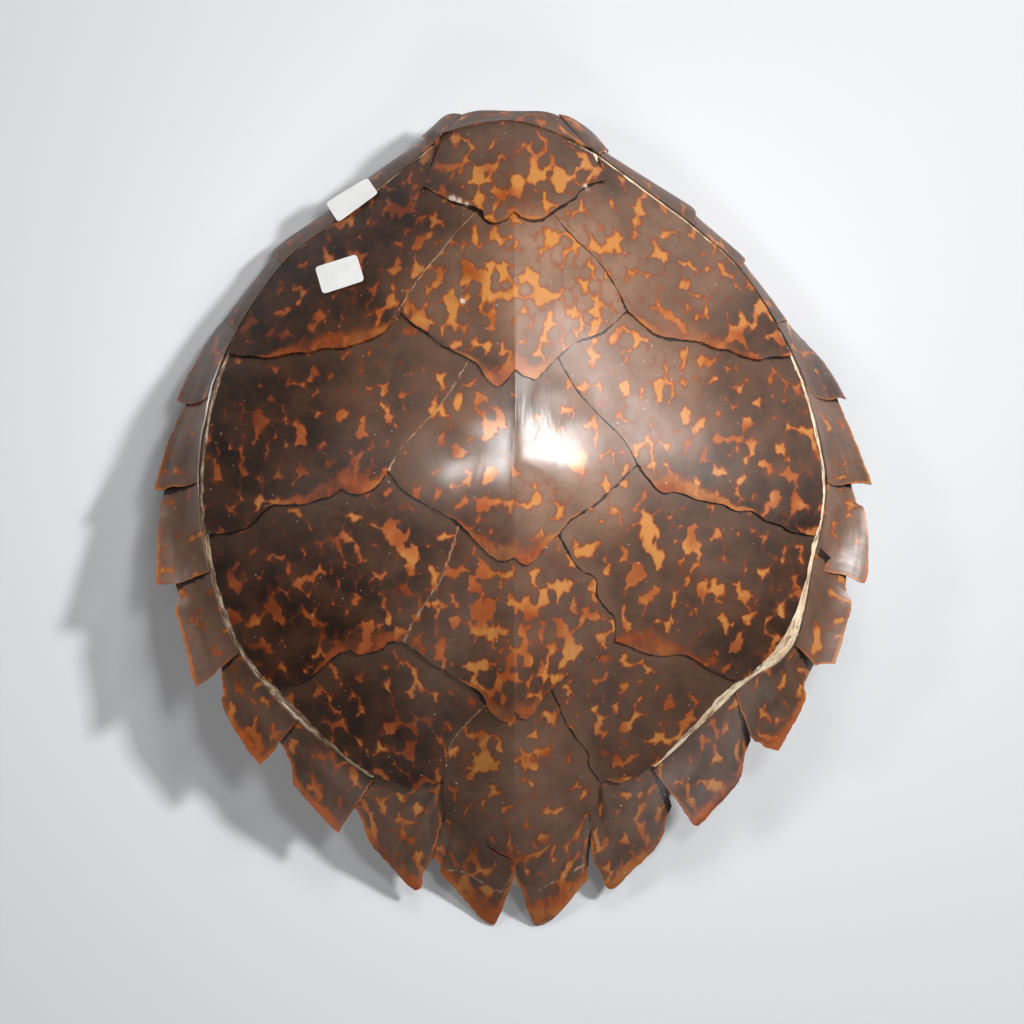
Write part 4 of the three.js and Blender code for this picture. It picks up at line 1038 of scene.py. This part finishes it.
def makeBone():
    form = boneForm
    spokes, fieldAt, seamAt = form["spokes"], form["fieldAt"], form["seamAt"]
    lines = [boneLine(i / spokes) for i in range(spokes)]

    def lineAt(u):
        return lines[round(u * spokes) % spokes]

    def place(u, v):
        seam, rim = lineAt(u)[:2]
        if v > seamAt:
            return seam.lerp(rim, ((v - seamAt) / (1 - seamAt)) ** 1.4)
        near = 1 - form["strip"] / math.hypot(seam.x, seam.y - shellForm["centreY"])
        share = near * v / fieldAt if v < fieldAt else mix(near, 1, (v - fieldAt) / (seamAt - fieldAt))
        if share >= 0.9999:
            return seam.copy()
        return onDome((seam.x * share, mix(shellForm["centreY"], seam.y, share)))
    bm, across, along = sheet(spokes, form["rings"], place)
    bmesh.ops.remove_doubles(bm, verts=bm.verts[:], dist=0.02)
    bm.normal_update()
    if sum(v.normal.dot(v.co - hollowMiddle) for v in bm.verts) < 0:
        bmesh.ops.reverse_faces(bm, faces=bm.faces[:])
        bm.normal_update()
    inner = bmesh.ops.duplicate(bm, geom=bm.verts[:] + bm.edges[:] + bm.faces[:])["geom"]
    innerVerts = {g for g in inner if isinstance(g, bmesh.types.BMVert)}
    normals = {v: v.normal.copy() for v in bm.verts}
    for vert in bm.verts:
        seam, _, gap = lineAt(vert[across])
        bump = 0.5 * rough(vert.co.x * 0.2, vert.co.y * 0.2, 11)
        if vert in innerVerts:
            relief = ribRelief(vert.co.x, vert.co.y) if vert[along] < seamAt else 0.0
            depth = form["under"] + form["thickness"] + relief + bump * 0.5
        else:
            near = smooth(1.4 - (vert.co - seam).length / (gap + 2.2))
            depth = form["under"] - form["ridge"] * near + bump * near
        vert.co -= normals[vert] * depth
    bmesh.ops.reverse_faces(bm, faces=[g for g in inner if isinstance(g, bmesh.types.BMFace)])
    bmesh.ops.bridge_loops(bm, edges=[e for e in bm.edges if e.is_boundary])
    growth = bm.loops.layers.uv.new("growth")
    for face in bm.faces:
        for loop in face.loops:
            vert = loop.vert
            out = (vert.co - lineAt(vert[across])[0]).length * (1 if vert[along] > seamAt else -1)
            loop[growth].uv = (out, vert[across] * 1500)         # mm out from the seam, and about mm along it
    piece = newPiece(bm, "carapace_bone_look", "carapace_bone_shape", driedBone)
    shadeSmooth(piece.data, 50)
    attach(piece, "root")
    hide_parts("carapace_bone")


makeBone()
print("bone ready")


labels = {  # mm
    "side": {"middle": (-121, 168.5), "turn": 17, "size": (30.5, 19.8)},
    "front": {"inner": [(-123.9, 206.9, 48.1), (-95.9, 227.2, 54.6)],     # along the seam
              "outer": [(-132.9, 220.9, 33.5), (-103.5, 238.4, 40)],      # stands off the steep rim
              "size": (35, 22), "lift": 0.4, "bulge": 0.5},
    "corner": 2.6, "thickness": 0.3, "lift": 2.7,
}


def roundedCorner(x, y, halfX, halfY, radius):  # a square grid's point moved so that the corners come out round
    px, py = min(max(x, radius - halfX), halfX - radius), min(max(y, radius - halfY), halfY - radius)
    dx, dy = x - px, y - py
    long = math.hypot(dx, dy)
    if long < 1e-6 or not (dx and dy):
        return x, y
    shrink = max(abs(dx), abs(dy)) / long
    return px + dx * shrink, py + dy * shrink


def makeSideLabel():
    setting = labels["side"]
    turn = math.radians(setting["turn"])
    halfX, halfY = setting["size"][0] / 2, setting["size"][1] / 2

    def place(u, v):
        x, y = roundedCorner((u - 0.5) * 2 * halfX, (0.5 - v) * 2 * halfY, halfX, halfY, labels["corner"])
        spot = (x * math.cos(turn) - y * math.sin(turn) + setting["middle"][0],
                x * math.sin(turn) + y * math.cos(turn) + setting["middle"][1])
        return onDome(spot)
    bm, across, along = sheet(32, 22, place)
    for vert in bm.verts:
        u, v = vert[across], vert[along]
        curl = 0.5 * smooth(u + v - 1.35) + 0.35 * smooth(0.7 - u - v)
        vert.co += vert.normal * (labels["lift"] + curl)
    layMaps(bm, across, along, lambda u, v, co: ((u * 32, v * 22), (9, 9), 0, 0, 9, 0))
    finishPlate(bm, "paper_label_side", labelPaper, labels["thickness"])


def makeFrontLabel():
    setting = labels["front"]
    inner, outer = ([Vector(p) for p in setting[edge]] for edge in ("inner", "outer"))
    width, height = setting["size"]

    def place(u, v):
        x, y = roundedCorner((u - 0.5) * width, (v - 0.5) * height, width / 2, height / 2, labels["corner"])
        u, v = x / width + 0.5, y / height + 0.5
        return inner[0].lerp(inner[1], u).lerp(outer[0].lerp(outer[1], u), v)
    bm, across, along = sheet(34, 22, place)
    for vert in bm.verts:
        bulge = setting["bulge"] * math.sin(math.pi * vert[across]) * smooth(vert[along])
        vert.co += vert.normal * (setting["lift"] + bulge)
    layMaps(bm, across, along, lambda u, v, co: ((u * width, v * height), (9, 9), 0, 0, 9, 0))
    finishPlate(bm, "paper_label_front", labelPaper, labels["thickness"])


makeSideLabel()
makeFrontLabel()
print("labels ready")


studio = {
    # soft boxes: where each stands, m, the side of its square and its power
    "boxes": {
        "key": ((2.12, 1.08, 2.3), 0.36, 89), "fill": ((-2.3, 0.6, 2.3), 0.56, 14),
        "front": ((0.35, 1.9, 1.95), 0.6, 15), "rear": ((0.2, -1.9, 1.95), 0.7, 11),
    },
    # lamps on the dome alone: where each stands and aims, its radius, how wide its cone opens and its power
    "lamps": {
        "haze": ((0.58, 0.62, 1.98), (0.045, 0.1, 0.13), 0.3, 22, 88),
        "shine": ((0.56, 0.27, 2.1), (0.02, 0.06, 0.15), 0.15, 11, 55),
        "shineLeft": ((-0.62, 0.1, 2.1), (-0.03, 0.05, 0.15), 0.12, 9, 44),
    },
    "boxAim": (0, 0, 0.05), "world": 0.085, "sky": "#f4f6fa",
    "floor": "#d8dadd", "floorRoughness": 0.7, "floorHalf": 6,
    # the camera: m above the ground, then mm: its centre, the frame's width and the height where that is true
    "cameraHeight": 6.0, "centre": (-0.6, 4.6), "frameWidth": 716.8, "focusHeight": 60, "sensor": 36,
}
bpy.context.scene.view_settings.view_transform = "Standard"


def addLight(name, lamp, at, aim):
    light = bpy.data.objects.new(name, lamp)
    light.location = at
    light.rotation_euler = (Vector(aim) - Vector(at)).to_track_quat("-Z", "Y").to_euler()
    bpy.context.collection.objects.link(light)


for name, (at, size, power) in studio["boxes"].items():
    lamp = bpy.data.lights.new(name, "AREA")
    lamp.shape, lamp.size, lamp.energy = "SQUARE", size, power
    addLight(name, lamp, at, studio["boxAim"])
for name, (at, aim, radius, cone, power) in studio["lamps"].items():
    lamp = bpy.data.lights.new(name, "SPOT")
    lamp.shadow_soft_size, lamp.energy = radius, power
    lamp.spot_size, lamp.spot_blend = math.radians(cone), 1.0
    addLight(name, lamp, at, aim)

world = bpy.data.worlds.new("studio")
bpy.context.scene.world = world
world.use_nodes = True
background = world.node_tree.nodes["Background"]
background.inputs["Color"].default_value = linear(studio["sky"])
background.inputs["Strength"].default_value = studio["world"]

floorMesh = bpy.data.meshes.new("floor")
bm = bmesh.new()
bmesh.ops.create_grid(bm, x_segments=1, y_segments=1, size=studio["floorHalf"])
bm.to_mesh(floorMesh)
bm.free()
floor = bpy.data.objects.new("floor", floorMesh)
bpy.context.collection.objects.link(floor)
floorPaint, _, floorShader = newMaterial("paleBackdrop")
floorShader.inputs["Base Color"].default_value = linear(studio["floor"])
floorShader.inputs["Roughness"].default_value = studio["floorRoughness"]
floorMesh.materials.append(floorPaint)

camera = bpy.data.cameras.new("camera")
camera.sensor_width = studio["sensor"]
camera.lens = studio["sensor"] * (studio["cameraHeight"] / mm - studio["focusHeight"]) / studio["frameWidth"]
camera.clip_end = 50
cameraObject = bpy.data.objects.new("camera", camera)
cameraObject.location = (studio["centre"][0] * mm, studio["centre"][1] * mm, studio["cameraHeight"])
bpy.context.collection.objects.link(cameraObject)
bpy.context.scene.camera = cameraObject

print("scene ready")
